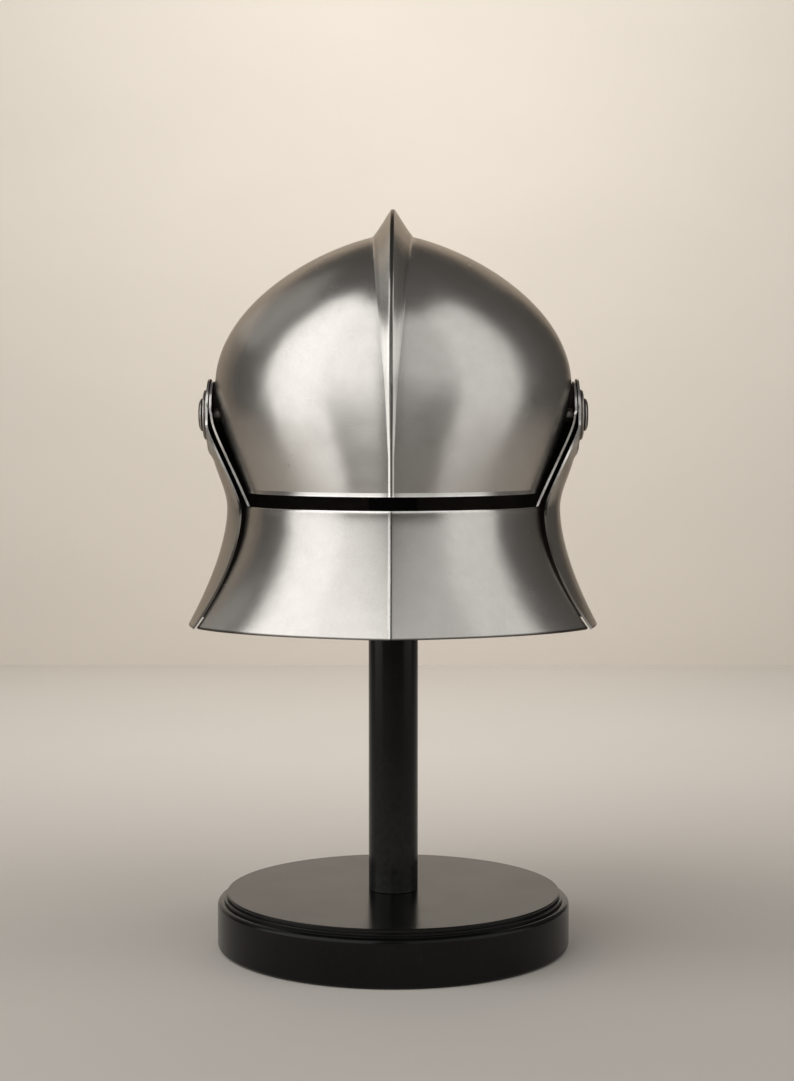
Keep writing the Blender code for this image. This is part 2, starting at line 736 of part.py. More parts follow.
def main():
    clear_scene()
    materials = {
        "steel": make_material("satin_steel", (0.62, 0.60, 0.57), 0.32, 1.0),
        "dark": make_material("dark_steel", (0.20, 0.19, 0.18), 0.38, 1.0),
        "black": make_material("black_lacquer", (0.012, 0.012, 0.012), 0.35, 0.0),
        "pad": make_material("black_pad", (0.02, 0.02, 0.02), 0.9, 0.0),
        "cutter": make_material("cutter", (1.0, 0.2, 0.2), 0.5, 0.0),
    }
    helmet = bpy.data.objects.new("helmet", None)
    bpy.context.scene.collection.objects.link(helmet)
    helmet.location = (0.0, 0.0, PIVOT_HEIGHT)
    skull = make_skull(materials["steel"], helmet)
    visor = make_visor(materials["steel"], helmet)
    guard = make_guard(materials["steel"], helmet)
    span = 2.2 * GUARD_EAR_HALF
    pivot_hole = make_cutter("pivot_hole", HOLE_RADIUS, span, helmet, CENTRE, (1.0, 0.0, 0.0))
    for plate in (skull, visor, guard):
        cut(plate, pivot_hole)
    for side, hand in ((-1.0, "right"), (1.0, "left")):
        make_pivot(side, hand, materials, helmet)
    turns = [-turn for turn in RIVET_TURNS] + list(reversed(RIVET_TURNS))
    for number, turn in enumerate(turns, 1):
        make_rivet(number, turn, skull, guard, materials, helmet)
    make_stand(materials)
    bpy.context.view_layer.update()


main()
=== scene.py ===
import math

import bmesh
import bpy
from mathutils import Matrix, Vector
from mathutils.kdtree import KDTree


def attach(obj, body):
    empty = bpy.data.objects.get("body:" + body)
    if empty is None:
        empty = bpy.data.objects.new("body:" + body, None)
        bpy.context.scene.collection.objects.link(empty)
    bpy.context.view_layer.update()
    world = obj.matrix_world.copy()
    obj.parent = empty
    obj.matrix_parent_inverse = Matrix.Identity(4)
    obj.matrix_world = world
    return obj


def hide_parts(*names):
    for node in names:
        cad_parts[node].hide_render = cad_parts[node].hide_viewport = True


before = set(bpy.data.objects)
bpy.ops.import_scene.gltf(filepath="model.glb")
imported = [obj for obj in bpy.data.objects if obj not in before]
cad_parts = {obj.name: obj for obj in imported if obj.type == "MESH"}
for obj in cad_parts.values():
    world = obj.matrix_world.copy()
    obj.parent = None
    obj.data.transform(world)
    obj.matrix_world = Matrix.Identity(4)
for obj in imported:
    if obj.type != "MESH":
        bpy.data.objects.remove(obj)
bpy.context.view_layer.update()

fixedBody = "skull_and_stand"
visorBody = "visor"
mm = 0.001
pivotHeight = 0.3435              # the helmet is drawn from the middle of its pivot axis
seatGap = 0.0003                  # what lies on another piece keeps this gap to it
curveTurn = math.radians(9.0)     # faces that meet at less than this are shaded as one curve
sharpTurn = math.radians(34.0)    # edges sharper than this are worn bright
pivotHole = {"radius": 0.0045, "drillLength": 0.27, "steps": 48}
toPivot = Matrix.Translation((0.0, 0.0, pivotHeight))


def mix(a, b, share):
    return a + (b - a) * share


def ease(share):
    share = min(1.0, max(0.0, share))
    return share * share * (3.0 - 2.0 * share)


def band(distance, reach):
    # 1 on a line, falling evenly to 0 at its reach
    return max(0.0, 1.0 - abs(distance) / reach)


# Small helpers for working on one piece at a time

def deselect():
    bpy.ops.object.select_all(action="DESELECT")


def activate(piece):
    deselect()
    piece.select_set(True)
    bpy.context.view_layer.objects.active = piece


def gridPiece(name, columns, rows, place, *settings):
    deselect()
    bpy.ops.mesh.primitive_grid_add(x_subdivisions=columns, y_subdivisions=rows, size=1.0)
    piece = bpy.context.object
    piece.name = name
    for vertex in piece.data.vertices:
        column = round((vertex.co.x + 0.5) * columns)
        row = round((vertex.co.y + 0.5) * rows)
        vertex.co = place(column, row, *settings)
    return piece


def joinPieces(name, pieces):
    deselect()
    for piece in pieces:
        piece.select_set(True)
    bpy.context.view_layer.objects.active = pieces[0]
    if len(pieces) > 1:
        bpy.ops.object.join()
    joined = bpy.context.object
    joined.name = name
    joined.data.name = name
    return joined


def editAll(piece):
    activate(piece)
    bpy.ops.object.mode_set(mode="EDIT")
    bpy.ops.mesh.select_all(action="SELECT")


def flipFaces(piece):
    editAll(piece)
    bpy.ops.mesh.flip_normals()
    bpy.ops.object.mode_set(mode="OBJECT")


def mergeSheet(piece):
    # welds the seams and poles and turns every face of an open sheet outwards
    editAll(piece)
    bpy.ops.mesh.remove_doubles(threshold=0.002 * mm)
    bpy.ops.mesh.dissolve_degenerate(threshold=0.001 * mm)
    bpy.ops.mesh.normals_make_consistent(inside=False)
    bpy.ops.object.mode_set(mode="OBJECT")
    outward = sum(1 if face.normal.dot(face.center) > 0.0 else -1 for face in piece.data.polygons)
    if outward < 0:
        flipFaces(piece)


def applyModifier(piece, name, kind, **settings):
    activate(piece)
    modifier = piece.modifiers.new(name, kind)
    for key, value in settings.items():
        setattr(modifier, key, value)
    bpy.ops.object.modifier_apply(modifier=name)


def drillPivotHole(piece):
    # one drill through both sides
    deselect()
    bpy.ops.mesh.primitive_cylinder_add(
        vertices=pivotHole["steps"], radius=pivotHole["radius"], depth=pivotHole["drillLength"],
        rotation=(0.0, math.pi / 2, 0.0),
    )
    drill = bpy.context.object
    applyModifier(piece, "pivotHole", "BOOLEAN", operation="DIFFERENCE", object=drill, solver="EXACT")
    bpy.data.objects.remove(drill, do_unlink=True)


def roundRims(piece, width, degrees):
    applyModifier(
        piece, "rim", "BEVEL", width=width, segments=2, limit_method="ANGLE",
        angle_limit=math.radians(degrees), use_clamp_overlap=True,
    )


def fullWear(point):
    return 1.0


def markEdges(piece, reach, paintedLightLine=None, wearAndShadeAt=fullWear):
    # writes the wear on sharp edges, falling to 0 at the reach, and the drawn lines of painted highlight and
    # painted shade; below zero is painted shade
    shape = bmesh.new()
    shape.from_mesh(piece.data)
    sharp = set()
    for edge in shape.edges:
        if len(edge.link_faces) == 2 and edge.calc_face_angle(0.0) > sharpTurn:
            sharp.update(edge.verts)
    tree = KDTree(max(1, len(sharp)))
    for i, vertex in enumerate(sharp):
        tree.insert(vertex.co, i)
    tree.balance()
    values = []
    for vertex in shape.verts:
        distance = tree.find(vertex.co)[2] if sharp else 1.0
        value = wearAndShadeAt(vertex.co) * band(distance, reach) ** 2
        line = paintedLightLine(vertex.co) if paintedLightLine else 0.0
        if abs(line) > abs(value) or line < 0.0:
            value = line
        values.append(value)
    shape.free()
    attribute = piece.data.attributes.new("edgeWearAndPaintedLight", "FLOAT", "POINT")
    attribute.data.foreach_set("value", values)


def giveMaterials(piece, materials):
    piece.data.materials.clear()
    for material in materials:
        piece.data.materials.append(material)


def finishPiece(piece, nodes, body, materials):
    activate(piece)
    bpy.ops.object.shade_smooth_by_angle(angle=curveTurn)
    giveMaterials(piece, materials)
    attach(piece, body)
    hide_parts(*nodes)


# Shader helpers

def link(tree, a, b):
    tree.links.new(a, b)


def addNode(tree, kind, **settings):
    node = tree.nodes.new(kind)
    for key, value in settings.items():
        setattr(node, key, value)
    return node


def noise(tree, coordinate, scale, detail, rough=0.5, stretch=None):
    texture = addNode(tree, "ShaderNodeTexNoise")
    texture.inputs["Scale"].default_value = scale
    texture.inputs["Detail"].default_value = detail
    texture.inputs["Roughness"].default_value = rough
    if stretch:
        mapping = addNode(tree, "ShaderNodeMapping")
        mapping.inputs["Scale"].default_value = stretch
        link(tree, coordinate, mapping.inputs["Vector"])
        coordinate = mapping.outputs["Vector"]
    link(tree, coordinate, texture.inputs["Vector"])
    return texture.outputs["Fac"]


def mathNode(tree, operation, a, b, clamp=False):
    node = addNode(tree, "ShaderNodeMath", operation=operation, use_clamp=clamp)
    for socket, value in zip(node.inputs, (a, b)):
        if isinstance(value, (int, float)):
            socket.default_value = value
        else:
            link(tree, value, socket)
    return node.outputs[0]


def rangeNode(tree, value, low, high, toLow, toHigh):
    node = addNode(tree, "ShaderNodeMapRange")
    for name, number in (("From Min", low), ("From Max", high), ("To Min", toLow), ("To Max", toHigh)):
        node.inputs[name].default_value = number
    link(tree, value, node.inputs["Value"])
    return node.outputs["Result"]


def mixColour(tree, share, a, b):
    node = addNode(tree, "ShaderNodeMix", data_type="RGBA")
    link(tree, share, node.inputs[0])
    for socket, value in ((node.inputs[6], a), (node.inputs[7], b)):
        if isinstance(value, tuple):
            socket.default_value = (*value, 1.0)
        else:
            link(tree, value, socket)
    return node.outputs[2]


def bumpNode(tree, height, strength, distance):
    bump = addNode(tree, "ShaderNodeBump")
    bump.inputs["Strength"].default_value = strength
    bump.inputs["Distance"].default_value = distance
    link(tree, height, bump.inputs["Height"])
    return bump


def newMaterial(name):
    material = bpy.data.materials.new(name)
    material.use_nodes = True
    return material, material.node_tree, material.node_tree.nodes["Principled BSDF"]


def newGroup(name, inputs, outputs):
    group = bpy.data.node_groups.new(name, "ShaderNodeTree")
    for label in inputs:
        group.interface.new_socket(label, in_out="INPUT", socket_type="NodeSocketFloat")
    for label in outputs:
        group.interface.new_socket(label, in_out="OUTPUT", socket_type="NodeSocketFloat")
    return group, addNode(group, "NodeGroupInput"), addNode(group, "NodeGroupOutput")


def groupNode(tree, group, **values):
    node = addNode(tree, "ShaderNodeGroup", node_tree=group)
    for name, value in values.items():
        node.inputs[name].default_value = value
    return node


# Effects that several materials share

polishNoise = {
    # scale, detail and roughness of each noise
    "cloud": (16.0, 4.0, 0.55), "patch": (70.0, 3.0, 0.6), "grain": (1300.0, 2.0, 0.6),
    "lines": (30.0, 2.0, 0.5), "hammering": (26.0, 1.5, 0.4),
}
lineStretch = (1.0, 1.0, 12.0)    # polishing lines run round the helmet
wearNoise = {"scale": 220.0, "detail": 3.0, "low": 0.30, "high": 0.60, "least": 0.55}


def makePolishGroup():
    # hand-polished plate: soft clouding, fine grain, faint polishing lines and hammering
    group, given, result = newGroup(
        "polishedPlate", ("Clouding", "Grain", "Lines"), ("Tone", "Rough", "Height", "Hammering")
    )
    place = addNode(group, "ShaderNodeTexCoord").outputs["Object"]

    def waves(kind, strength, stretch=None):
        # a noise about zero, as strong as the material asks
        wave = mathNode(group, "SUBTRACT", noise(group, place, *polishNoise[kind], stretch), 0.5)
        return mathNode(group, "MULTIPLY", wave, given.outputs[strength])

    cloudy = waves("cloud", "Clouding")
    patchy = waves("patch", "Clouding")
    grainy = waves("grain", "Grain")
    lined = waves("lines", "Lines", lineStretch)
    tone = mathNode(group, "ADD", cloudy, mathNode(group, "MULTIPLY", patchy, 0.5))
    tone = mathNode(group, "ADD", tone, 0.5)
    tone = mathNode(group, "ADD", tone, mathNode(group, "MULTIPLY", grainy, 0.5), clamp=True)
    rough = mathNode(group, "ADD", mathNode(group, "SUBTRACT", 0.5, patchy), lined, clamp=True)
    height = mathNode(group, "ADD", grainy, mathNode(group, "MULTIPLY", patchy, 0.15))
    link(group, tone, result.inputs["Tone"])
    link(group, rough, result.inputs["Rough"])
    link(group, height, result.inputs["Height"])
    link(group, noise(group, place, *polishNoise["hammering"]), result.inputs["Hammering"])
    return group


def makeWearGroup():
    # burnished edges and painted highlights, broken up a little, and the painted shade that is marked below
    # zero
    group, given, result = newGroup("burnishAndPaintedLight", ("Strength",), ("Mask", "Shade"))
    marked = addNode(group, "ShaderNodeAttribute", attribute_name="edgeWearAndPaintedLight").outputs["Fac"]
    place = addNode(group, "ShaderNodeTexCoord").outputs["Object"]
    broken = noise(group, place, wearNoise["scale"], wearNoise["detail"])
    broken = rangeNode(group, broken, wearNoise["low"], wearNoise["high"], wearNoise["least"], 1.0)
    mask = mathNode(group, "MULTIPLY", marked, broken)
    mask = mathNode(group, "MULTIPLY", mask, given.outputs["Strength"], clamp=True)
    link(group, mask, result.inputs["Mask"])
    link(group, mathNode(group, "MULTIPLY", marked, -1.0, clamp=True), result.inputs["Shade"])
    return group


polishGroup = makePolishGroup()
wearAndPaintedLightGroup = makeWearGroup()


# Metals

grainDepth = 0.4 * mm
rimTint = (0.55, 0.50, 0.45)      # a metal's colour where it is seen edge-on

# edge is the colour of worn edges and painted highlights, the darkest colour that of the painted shade
plateFinish = {
    "metallic": 1.0, "dark": (0.50, 0.485, 0.465), "light": (0.72, 0.705, 0.68),
    "edge": (0.93, 0.92, 0.90), "paintedShade": (0.06, 0.055, 0.05), "clouding": 0.6, "grain": 1.0,
    "lines": 0.2, "smooth": 0.17, "rough": 0.33, "wearAndPaintedLight": 0.7, "edgeSmoothing": 0.03, "bump": 0.09,
    "hammered": 0.6 * mm,
}
# painted shade: the insides are near black so that the slit and the open underside read as deep shade
insideFinish = {
    "metallic": 0.7, "dark": (0.010, 0.009, 0.008), "light": (0.040, 0.036, 0.032),
    "edge": (0.30, 0.29, 0.28), "paintedShade": (0.01, 0.01, 0.01), "clouding": 1.0, "grain": 0.8,
    "lines": 0.2, "smooth": 0.55, "rough": 0.75, "wearAndPaintedLight": 0.3, "edgeSmoothing": 0.0, "bump": 0.25,
    "hammered": 1.0 * mm,
}
pivotFinish = {
    "metallic": 1.0, "dark": (0.085, 0.072, 0.064), "light": (0.25, 0.225, 0.205),
    "edge": (0.66, 0.64, 0.61), "paintedShade": (0.03, 0.03, 0.03), "clouding": 1.0, "grain": 0.6,
    "lines": 0.4, "smooth": 0.25, "rough": 0.45, "wearAndPaintedLight": 0.8, "edgeSmoothing": 0.05, "bump": 0.15,
    "hammered": 0.1 * mm,
}


def makeMetal(name, finish):
    material, tree, shader = newMaterial(name)
    shader.inputs["Metallic"].default_value = finish["metallic"]
    shader.inputs["Specular Tint"].default_value = (*rimTint, 1.0)
    plate = groupNode(
        tree, polishGroup, Clouding=finish["clouding"], Grain=finish["grain"], Lines=finish["lines"]
    )
    wearAndPaintedLight = groupNode(tree, wearAndPaintedLightGroup, Strength=finish["wearAndPaintedLight"])
    colour = mixColour(tree, plate.outputs["Tone"], finish["dark"], finish["light"])
    # worn edges and painted highlights take the edge colour, painted shade the darkest colour
    colour = mixColour(tree, wearAndPaintedLight.outputs["Mask"], colour, finish["edge"])
    colour = mixColour(tree, wearAndPaintedLight.outputs["Shade"], colour, finish["paintedShade"])
    link(tree, colour, shader.inputs["Base Color"])
    rough = rangeNode(tree, plate.outputs["Rough"], 0.0, 1.0, finish["smooth"], finish["rough"])
    worn = mathNode(tree, "MULTIPLY", wearAndPaintedLight.outputs["Mask"], finish["edgeSmoothing"])
    link(tree, mathNode(tree, "SUBTRACT", rough, worn, clamp=True), shader.inputs["Roughness"])
    bump = bumpNode(tree, plate.outputs["Height"], finish["bump"], grainDepth)
    hammered = bumpNode(tree, plate.outputs["Hammering"], 1.0, finish["hammered"])
    link(tree, hammered.outputs["Normal"], bump.inputs["Normal"])
    link(tree, bump.outputs["Normal"], shader.inputs["Normal"])
    return material


plateSteel = makeMetal("plateSteel", plateFinish)
paintedShadeInside = makeMetal("paintedShadeInside", insideFinish)
pivotSteel = makeMetal("pivotSteel", pivotFinish)
plateSides = [plateSteel, paintedShadeInside]
print("materials ready")


def finishPlate(piece, nodes, body, rim, paintedLightLine, wearAndShadeAt=fullWear):
    drillPivotHole(piece)
    roundRims(piece, rim["round"], rim["degrees"])
    inside = [min(1, face.material_index) for face in piece.data.polygons]
    piece.data.transform(toPivot)
    markEdges(piece, rim["wearReach"], paintedLightLine, wearAndShadeAt)
    finishPiece(piece, nodes, body, plateSides)
    piece.data.polygons.foreach_set("material_index", inside)


# Skull

skull = {
    "half": 0.1145, "front": 0.125, "back": 0.137, "wall": 0.0018, "equator": 0.0175, "crown": 0.0975,
    "browDrop": 0.0498, "sideDraw": 0.0206, "frontDraw": 0.003, "backDraw": 0.010, "drawEase": 0.020,
    "planPower": 1.8, "crownPower": 1.45, "lipHeight": 0.0026, "lipOut": 0.0005, "lipPower": 1.5,
    "combHalf": 0.0130, "combHeight": 0.0155, "combRise": 1.2, "combTop": 0.0012, "combTopShare": 0.35,
    "combRound": 0.03, "flankPower": 1.18, "ridgeHalf": 0.0039, "ridgeHeight": 0.0012,
    "browRidgeHalf": 0.0017, "browRidgeHeight": 0.0008, "ridgeTaper": 1.5, "columns": 36,
    "columnSpread": 1.15, "ribs": 110, "skirtRows": 26, "rowSpread": 1.3,
}
skullRim = {"round": 0.45 * mm, "degrees": 65.0, "wearReach": 1.6 * mm}
innerComb = {"wall": 0.8, "leastHalf": 0.4, "height": 0.85}    # shares of the wall and of the outer comb
combStops = (0.0, 0.5, 0.85, 1.1, 1.5)                         # shares of the comb's flat top
flankStops = (0.3, 0.6, 0.85, 1.0)                             # shares of what is left of its flank
skullPaintedLight = {
    # painted highlights and painted shade in the skull's finish: how strong, how far off, how far they reach
    # and how soon they start
    "combEdge": 0.9, "combEdgeOff": 0.3 * mm, "combEdgeReach": 0.6 * mm,
    "top": 0.85, "topSpare": 0.05 * mm, "topPower": 0.35, "topStart": 2.5,
    "foot": 0.5, "footReach": 0.8 * mm, "footStart": 3.0,
    "lip": 0.6, "lipReach": 1.6 * mm,
    "ridge": 0.9, "ridgeX": -0.7 * mm, "ridgeReach": 0.7 * mm,
    "paintedShadeLine": 0.75, "paintedShadeLineX": 0.5 * mm, "paintedShadeLineReach": 0.8 * mm,
    "ridgeFront": -0.1,
}
skirtDrop = skull["equator"] + skull["browDrop"]
combColumns = len(combStops) + len(flankStops) - 1
skullMiddle = combColumns + skull["columns"]


def combSize(lift):
    # lift is 1 at the crown, 0 at the equator and -1 at the brow
    if lift >= 0.0:
        return (
            mix(skull["ridgeHalf"], skull["combHalf"], lift),
            mix(skull["ridgeHeight"], skull["combHeight"], lift ** skull["combRise"]),
        )
    return (
        mix(skull["ridgeHalf"], skull["browRidgeHalf"], min(1.0, -skull["ridgeTaper"] * lift)),
        mix(skull["ridgeHeight"], skull["browRidgeHeight"], -lift),
    )


def innerCombSize(lift):
    half, height = combSize(lift)
    wall = innerComb["wall"] * skull["wall"]
    return max(half - wall, innerComb["leastHalf"] * half), max(0.0, innerComb["height"] * (height - wall))


def combTop(half):
    return min(skull["combTop"], skull["combTopShare"] * half)


def skullColumn(column, combHalf, skullHalf):
    number = abs(column)
    if number < len(combStops):
        x = combTop(combHalf) * combStops[number]
    elif number <= combColumns:
        x = mix(combTop(combHalf) * combStops[-1], combHalf, flankStops[number - len(combStops)])
    else:
        start = math.asin(combHalf / skullHalf)
        share = (number - combColumns) / skull["columns"]
        x = skullHalf * math.sin(mix(start, math.pi / 2, share ** skull["columnSpread"]))
    return math.copysign(x, column)


def combBump(x, half, height):
    share = (abs(x) - combTop(half)) / (half - combTop(half))
    share = 0.5 * (math.hypot(share, skull["combRound"]) + share)   # the top's corners are a little round
    return height * max(0.0, 1.0 - share) ** skull["flankPower"]


def planShare(share):
    return max(0.0, 1.0 - min(1.0, share) ** skull["planPower"]) ** (1.0 / skull["planPower"])


def crownShare(share):
    return math.sqrt(max(0.0, 1.0 - min(1.0, share) ** skull["crownPower"]))


def skullUpper(column, rib, inset, sizes):
    turn = math.pi * rib / skull["ribs"]
    lift = max(0.0, math.sin(turn))
    half, height = sizes(lift)
    skullHalf = skull["half"] - inset
    x = skullColumn(column - skullMiddle, half, skullHalf)
    share = abs(x) / skullHalf
    reach = (skull["front"] if turn < math.pi / 2 else skull["back"]) - inset
    bump = combBump(x, half, height)
    y = -(reach * planShare(share) + bump) * math.cos(turn)
    z = skull["equator"] + ((skull["crown"] - inset) * crownShare(share) + bump) * lift
    return x, y, z


def skirtSize(drop, inset):
    full = math.hypot(skirtDrop, skull["drawEase"]) - skull["drawEase"]
    drawn = (math.hypot(drop, skull["drawEase"]) - skull["drawEase"]) / full
    return tuple(
        skull[size] - inset - skull[draw] * drawn
        for size, draw in (("half", "sideDraw"), ("front", "frontDraw"), ("back", "backDraw"))
    )


def skullLower(column, row, side, inset, sizes):
    drop = skirtDrop * (1.0 - (1.0 - row / skull["skirtRows"]) ** skull["rowSpread"])
    half, height = sizes(-drop / skirtDrop)
    skullHalf, front, back = skirtSize(drop, inset)
    nearRim = ease((drop - skirtDrop + skull["lipHeight"]) / skull["lipHeight"])
    lip = skull["lipOut"] * nearRim ** skull["lipPower"]
    x = skullColumn(column - skullMiddle, half, skullHalf + lip)
    reach = (front if side < 0 else back) + lip
    y = side * (reach * planShare(abs(x) / (skullHalf + lip)) + combBump(x, half, height))
    return x, y, skull["equator"] - drop


def skullSurface(name, inset, sizes):
    columns = 2 * skullMiddle
    sheets = [gridPiece(name, columns, skull["ribs"], skullUpper, inset, sizes)]
    for side in (-1, 1):
        sheets.append(gridPiece(name, columns, skull["skirtRows"], skullLower, side, inset, sizes))
    surface = joinPieces(name, sheets)
    mergeSheet(surface)
    return surface


def skullPaintedLightLines(point):
    # painted highlights beside the comb's flat top, painted shade on the top and in the creases at its foot,
    # a painted highlight along the brow lip, and on the skirt's front a painted highlight left of the ridge
    # with a painted shade line right of it
    marks = skullPaintedLight
    height = point.z - pivotHeight - skull["equator"]
    full = skull["crown"] + skull["combHeight"] if height > 0.0 else skirtDrop
    lift = min(1.0, max(-1.0, height / full))
    half = combSize(lift)[0]
    top = combTop(half)
    across = abs(point.x)
    if height > 0.0:
        bright = marks["combEdge"] * band(across - top - marks["combEdgeOff"], marks["combEdgeReach"])
        flat = marks["top"] * ease(marks["topStart"] * lift)
        flat *= band(across, top + marks["topSpare"]) ** marks["topPower"]
        crease = marks["foot"] * ease(marks["footStart"] * lift) * band(across - half, marks["footReach"])
        return bright if bright > max(flat, crease) else -max(flat, crease)
    lip = marks["lip"] * band(height + skirtDrop, marks["lipReach"]) if point.y < 0.0 else 0.0
    if point.y > marks["ridgeFront"]:
        return lip
    ridge = marks["ridge"] * band(point.x - marks["ridgeX"], marks["ridgeReach"])
    paintedShadeLine = marks["paintedShadeLine"] * band(point.x - marks["paintedShadeLineX"], marks["paintedShadeLineReach"])
    return -paintedShadeLine if paintedShadeLine > max(lip, ridge) else max(lip, ridge)


def makeSkull():
    outer = skullSurface("skullBowl", 0.0, combSize)
    inner = skullSurface("skullInside", skull["wall"], innerCombSize)
    flipFaces(inner)
    giveMaterials(outer, plateSides)
    giveMaterials(inner, [paintedShadeInside])
    piece = joinPieces("skullBowl", [outer, inner])
    bpy.ops.object.mode_set(mode="EDIT")
    bpy.ops.mesh.select_all(action="DESELECT")
    bpy.ops.mesh.select_mode(type="EDGE")
    bpy.ops.mesh.select_non_manifold(
        extend=False, use_wire=False, use_boundary=True, use_multi_face=False, use_non_contiguous=False,
        use_verts=False,
    )
    bpy.ops.mesh.bridge_edge_loops()
    bpy.ops.mesh.select_all(action="SELECT")
    bpy.ops.mesh.select_mode(type="VERT")
    bpy.ops.object.mode_set(mode="OBJECT")
    finishPlate(piece, ["skull"], fixedBody, skullRim, skullPaintedLightLines)


makeSkull()
print("skull")


# Visor

visor = {
    "slit": 0.0081, "height": 0.0736, "topHalf": 0.095, "footHalf": 0.139, "topFront": 0.118,
    "footFront": 0.133, "topCrease": 0.006, "footCrease": 0.009, "creaseReach": 0.100, "creaseRound": 0.0007,
    "topEdgeY": 0.028, "footEdgeY": 0.067, "sidePower": 1.8, "frontPower": 1.5, "returnDepth": 0.009,
    "returnPower": 6, "armWidth": 0.030, "armSpread": 1.3, "earRadius": 0.0215, "plate": 0.0014,
    "clearance": 0.0008, "bendStart": 0.93, "bendSoft": 2.0 * mm, "bendPower": 0.8, "rollHeight": 0.0014,
    "rollIn": 0.0005, "turnHeight": 0.014, "turnOut": 0.0010, "turnReach": 0.35, "columns": 44,
    "columnSpread": 1.1, "rows": 40, "rowSpread": 0.85, "armColumns": 12, "armRows": 30, "earRows": 16,
}
creaseStops = (0.0, 0.003, 0.006, 0.010, 0.016, 0.026)    # close columns by the crease, shares of the turn
visorWearAndPaintedLight = {
    # the visor's edge wear and its painted highlights and painted shade: how strong, how far from the middle
    # and how far they reach
    "edge": 0.6, "foot": 0.9, "footHeight": 0.45 * mm, "front": -0.09, "least": 0.25,
    "lip": 1.3, "lipReach": 2.0 * mm,
    "crease": 1.2, "creaseX": -0.7 * mm, "creaseReach": 0.9 * mm,
    "paintedShadeLineX": 0.35 * mm, "paintedShadeLineReach": 0.6 * mm,
    "dullingAndShade": 0.62, "creaseShadePower": 1.3, "creaseShadeReach": 0.042, "creaseShadeDepth": 0.085,
}
plateRim = {"round": 0.35 * mm, "degrees": 60.0, "wearReach": 1.1 * mm}    # the neck guard has it too
visorTop = skull["browDrop"] + visor["slit"]
armEar = skull["half"] + visor["clearance"] + visor["plate"]
rimDrop = visorTop + visor["height"]


def visorSection(share):
    return (
        mix(visor["topHalf"], visor["footHalf"], share ** visor["sidePower"]),
        mix(visor["topFront"], visor["footFront"], share ** visor["frontPower"]),
        mix(visor["topCrease"], visor["footCrease"], share),
    )


def visorEdgeTurn(share):
    return math.acos(mix(visor["topEdgeY"], visor["footEdgeY"], share) / visorSection(share)[1])


def visorPoint(share, turn):
    # the top turns out a little, its very edge is rolled in and the crease is slightly round
    half, front, crease = visorSection(share)
    below = share * visor["height"]
    forward = ease((math.cos(turn) - visor["topEdgeY"] / visor["topFront"]) / visor["turnReach"])
    roll = visor["rollIn"] * band(below, visor["rollHeight"]) ** 2
    roll -= visor["turnOut"] * forward * band(below, visor["turnHeight"]) ** 2
    x = (half - roll) * math.sin(turn)
    away = math.hypot(x, visor["creaseRound"]) - visor["creaseRound"]
    y = -(front - roll) * math.cos(turn) - crease * band(away, visor["creaseReach"]) ** 2
    return x, y, -visorTop - visor["height"] * share


def visorRow(row):
    # rows run from the foot up, closer together near both edges
    share = 1.0 - row / visor["rows"]
    return mix(share, ease(share), visor["rowSpread"])


def visorColumn(column):
    number = abs(column)
    last = len(creaseStops) - 1
    if number <= last:
        share = creaseStops[number]
    else:
        beyond = (number - last) / (visor["columns"] - last)
        share = mix(creaseStops[-1], 1.0, beyond ** visor["columnSpread"])
    return math.copysign(share, column)


def visorPanel(column, row):
    share = visorRow(row)
    return visorPoint(share, visorColumn(column - visor["columns"]) * visorEdgeTurn(share))


def armBend(radius):
    # flat round the pivot, then it bends inwards softly
    start = visor["bendStart"] * visor["earRadius"]
    soft = visor["bendSoft"]
    return max(0.0, math.hypot(max(0.0, radius - start), soft) - soft)


visorCorner = visorPoint(0.0, visorEdgeTurn(0.0))


def armHalf(y, z):
    # turned about the pivot axis, so that the arm slides in its own track
    share = armBend(math.hypot(y, z)) / armBend(math.hypot(visorCorner[1], visorCorner[2]))
    return armEar - (armEar - visorCorner[0]) * share ** visor["bendPower"]


def visorSide(column, row, side):
    # the returned side edge, then the arm, then the round ear above the pivot
    step = (column / visor["armColumns"]) ** visor["armSpread"]
    topY = visorCorner[1]
    if row <= visor["rows"]:
        share = visorRow(row)
        x, y, z = visorPoint(share, visorEdgeTurn(share))
        depth = mix(visor["returnDepth"], visor["armWidth"], (1.0 - share) ** visor["returnPower"])
        lean = armHalf(topY + depth * step, -visorTop) - armHalf(topY, -visorTop)
        return side * (x + lean * (1.0 - share) ** 2), y + depth * step, z
    row -= visor["rows"]
    if row <= visor["armRows"]:
        share = row / visor["armRows"]
        z = -visorTop * (1.0 - share)
        front = mix(topY, -visor["earRadius"], share)
        back = mix(topY + visor["armWidth"], visor["earRadius"], ease(share))
        y = mix(front, back, step)
        return side * armHalf(y, z), y, z
    angle = math.pi / 2 * (row - visor["armRows"]) / visor["earRows"]
    reach = visor["earRadius"] * math.cos(angle)
    return side * armEar, mix(-reach, reach, step), visor["earRadius"] * math.sin(angle)


def makeSheetPlate(name, sheets):
    # sheets on the outer face become one plate with a near-black inside, which is painted shade
    for sheet in sheets:
        giveMaterials(sheet, plateSides)
    piece = joinPieces(name, sheets)
    mergeSheet(piece)
    applyModifier(
        piece, "wall", "SOLIDIFY", thickness=visor["plate"], offset=-1.0, use_even_offset=True,
        use_rim=True, material_offset=1, material_offset_rim=0,
    )
    return piece


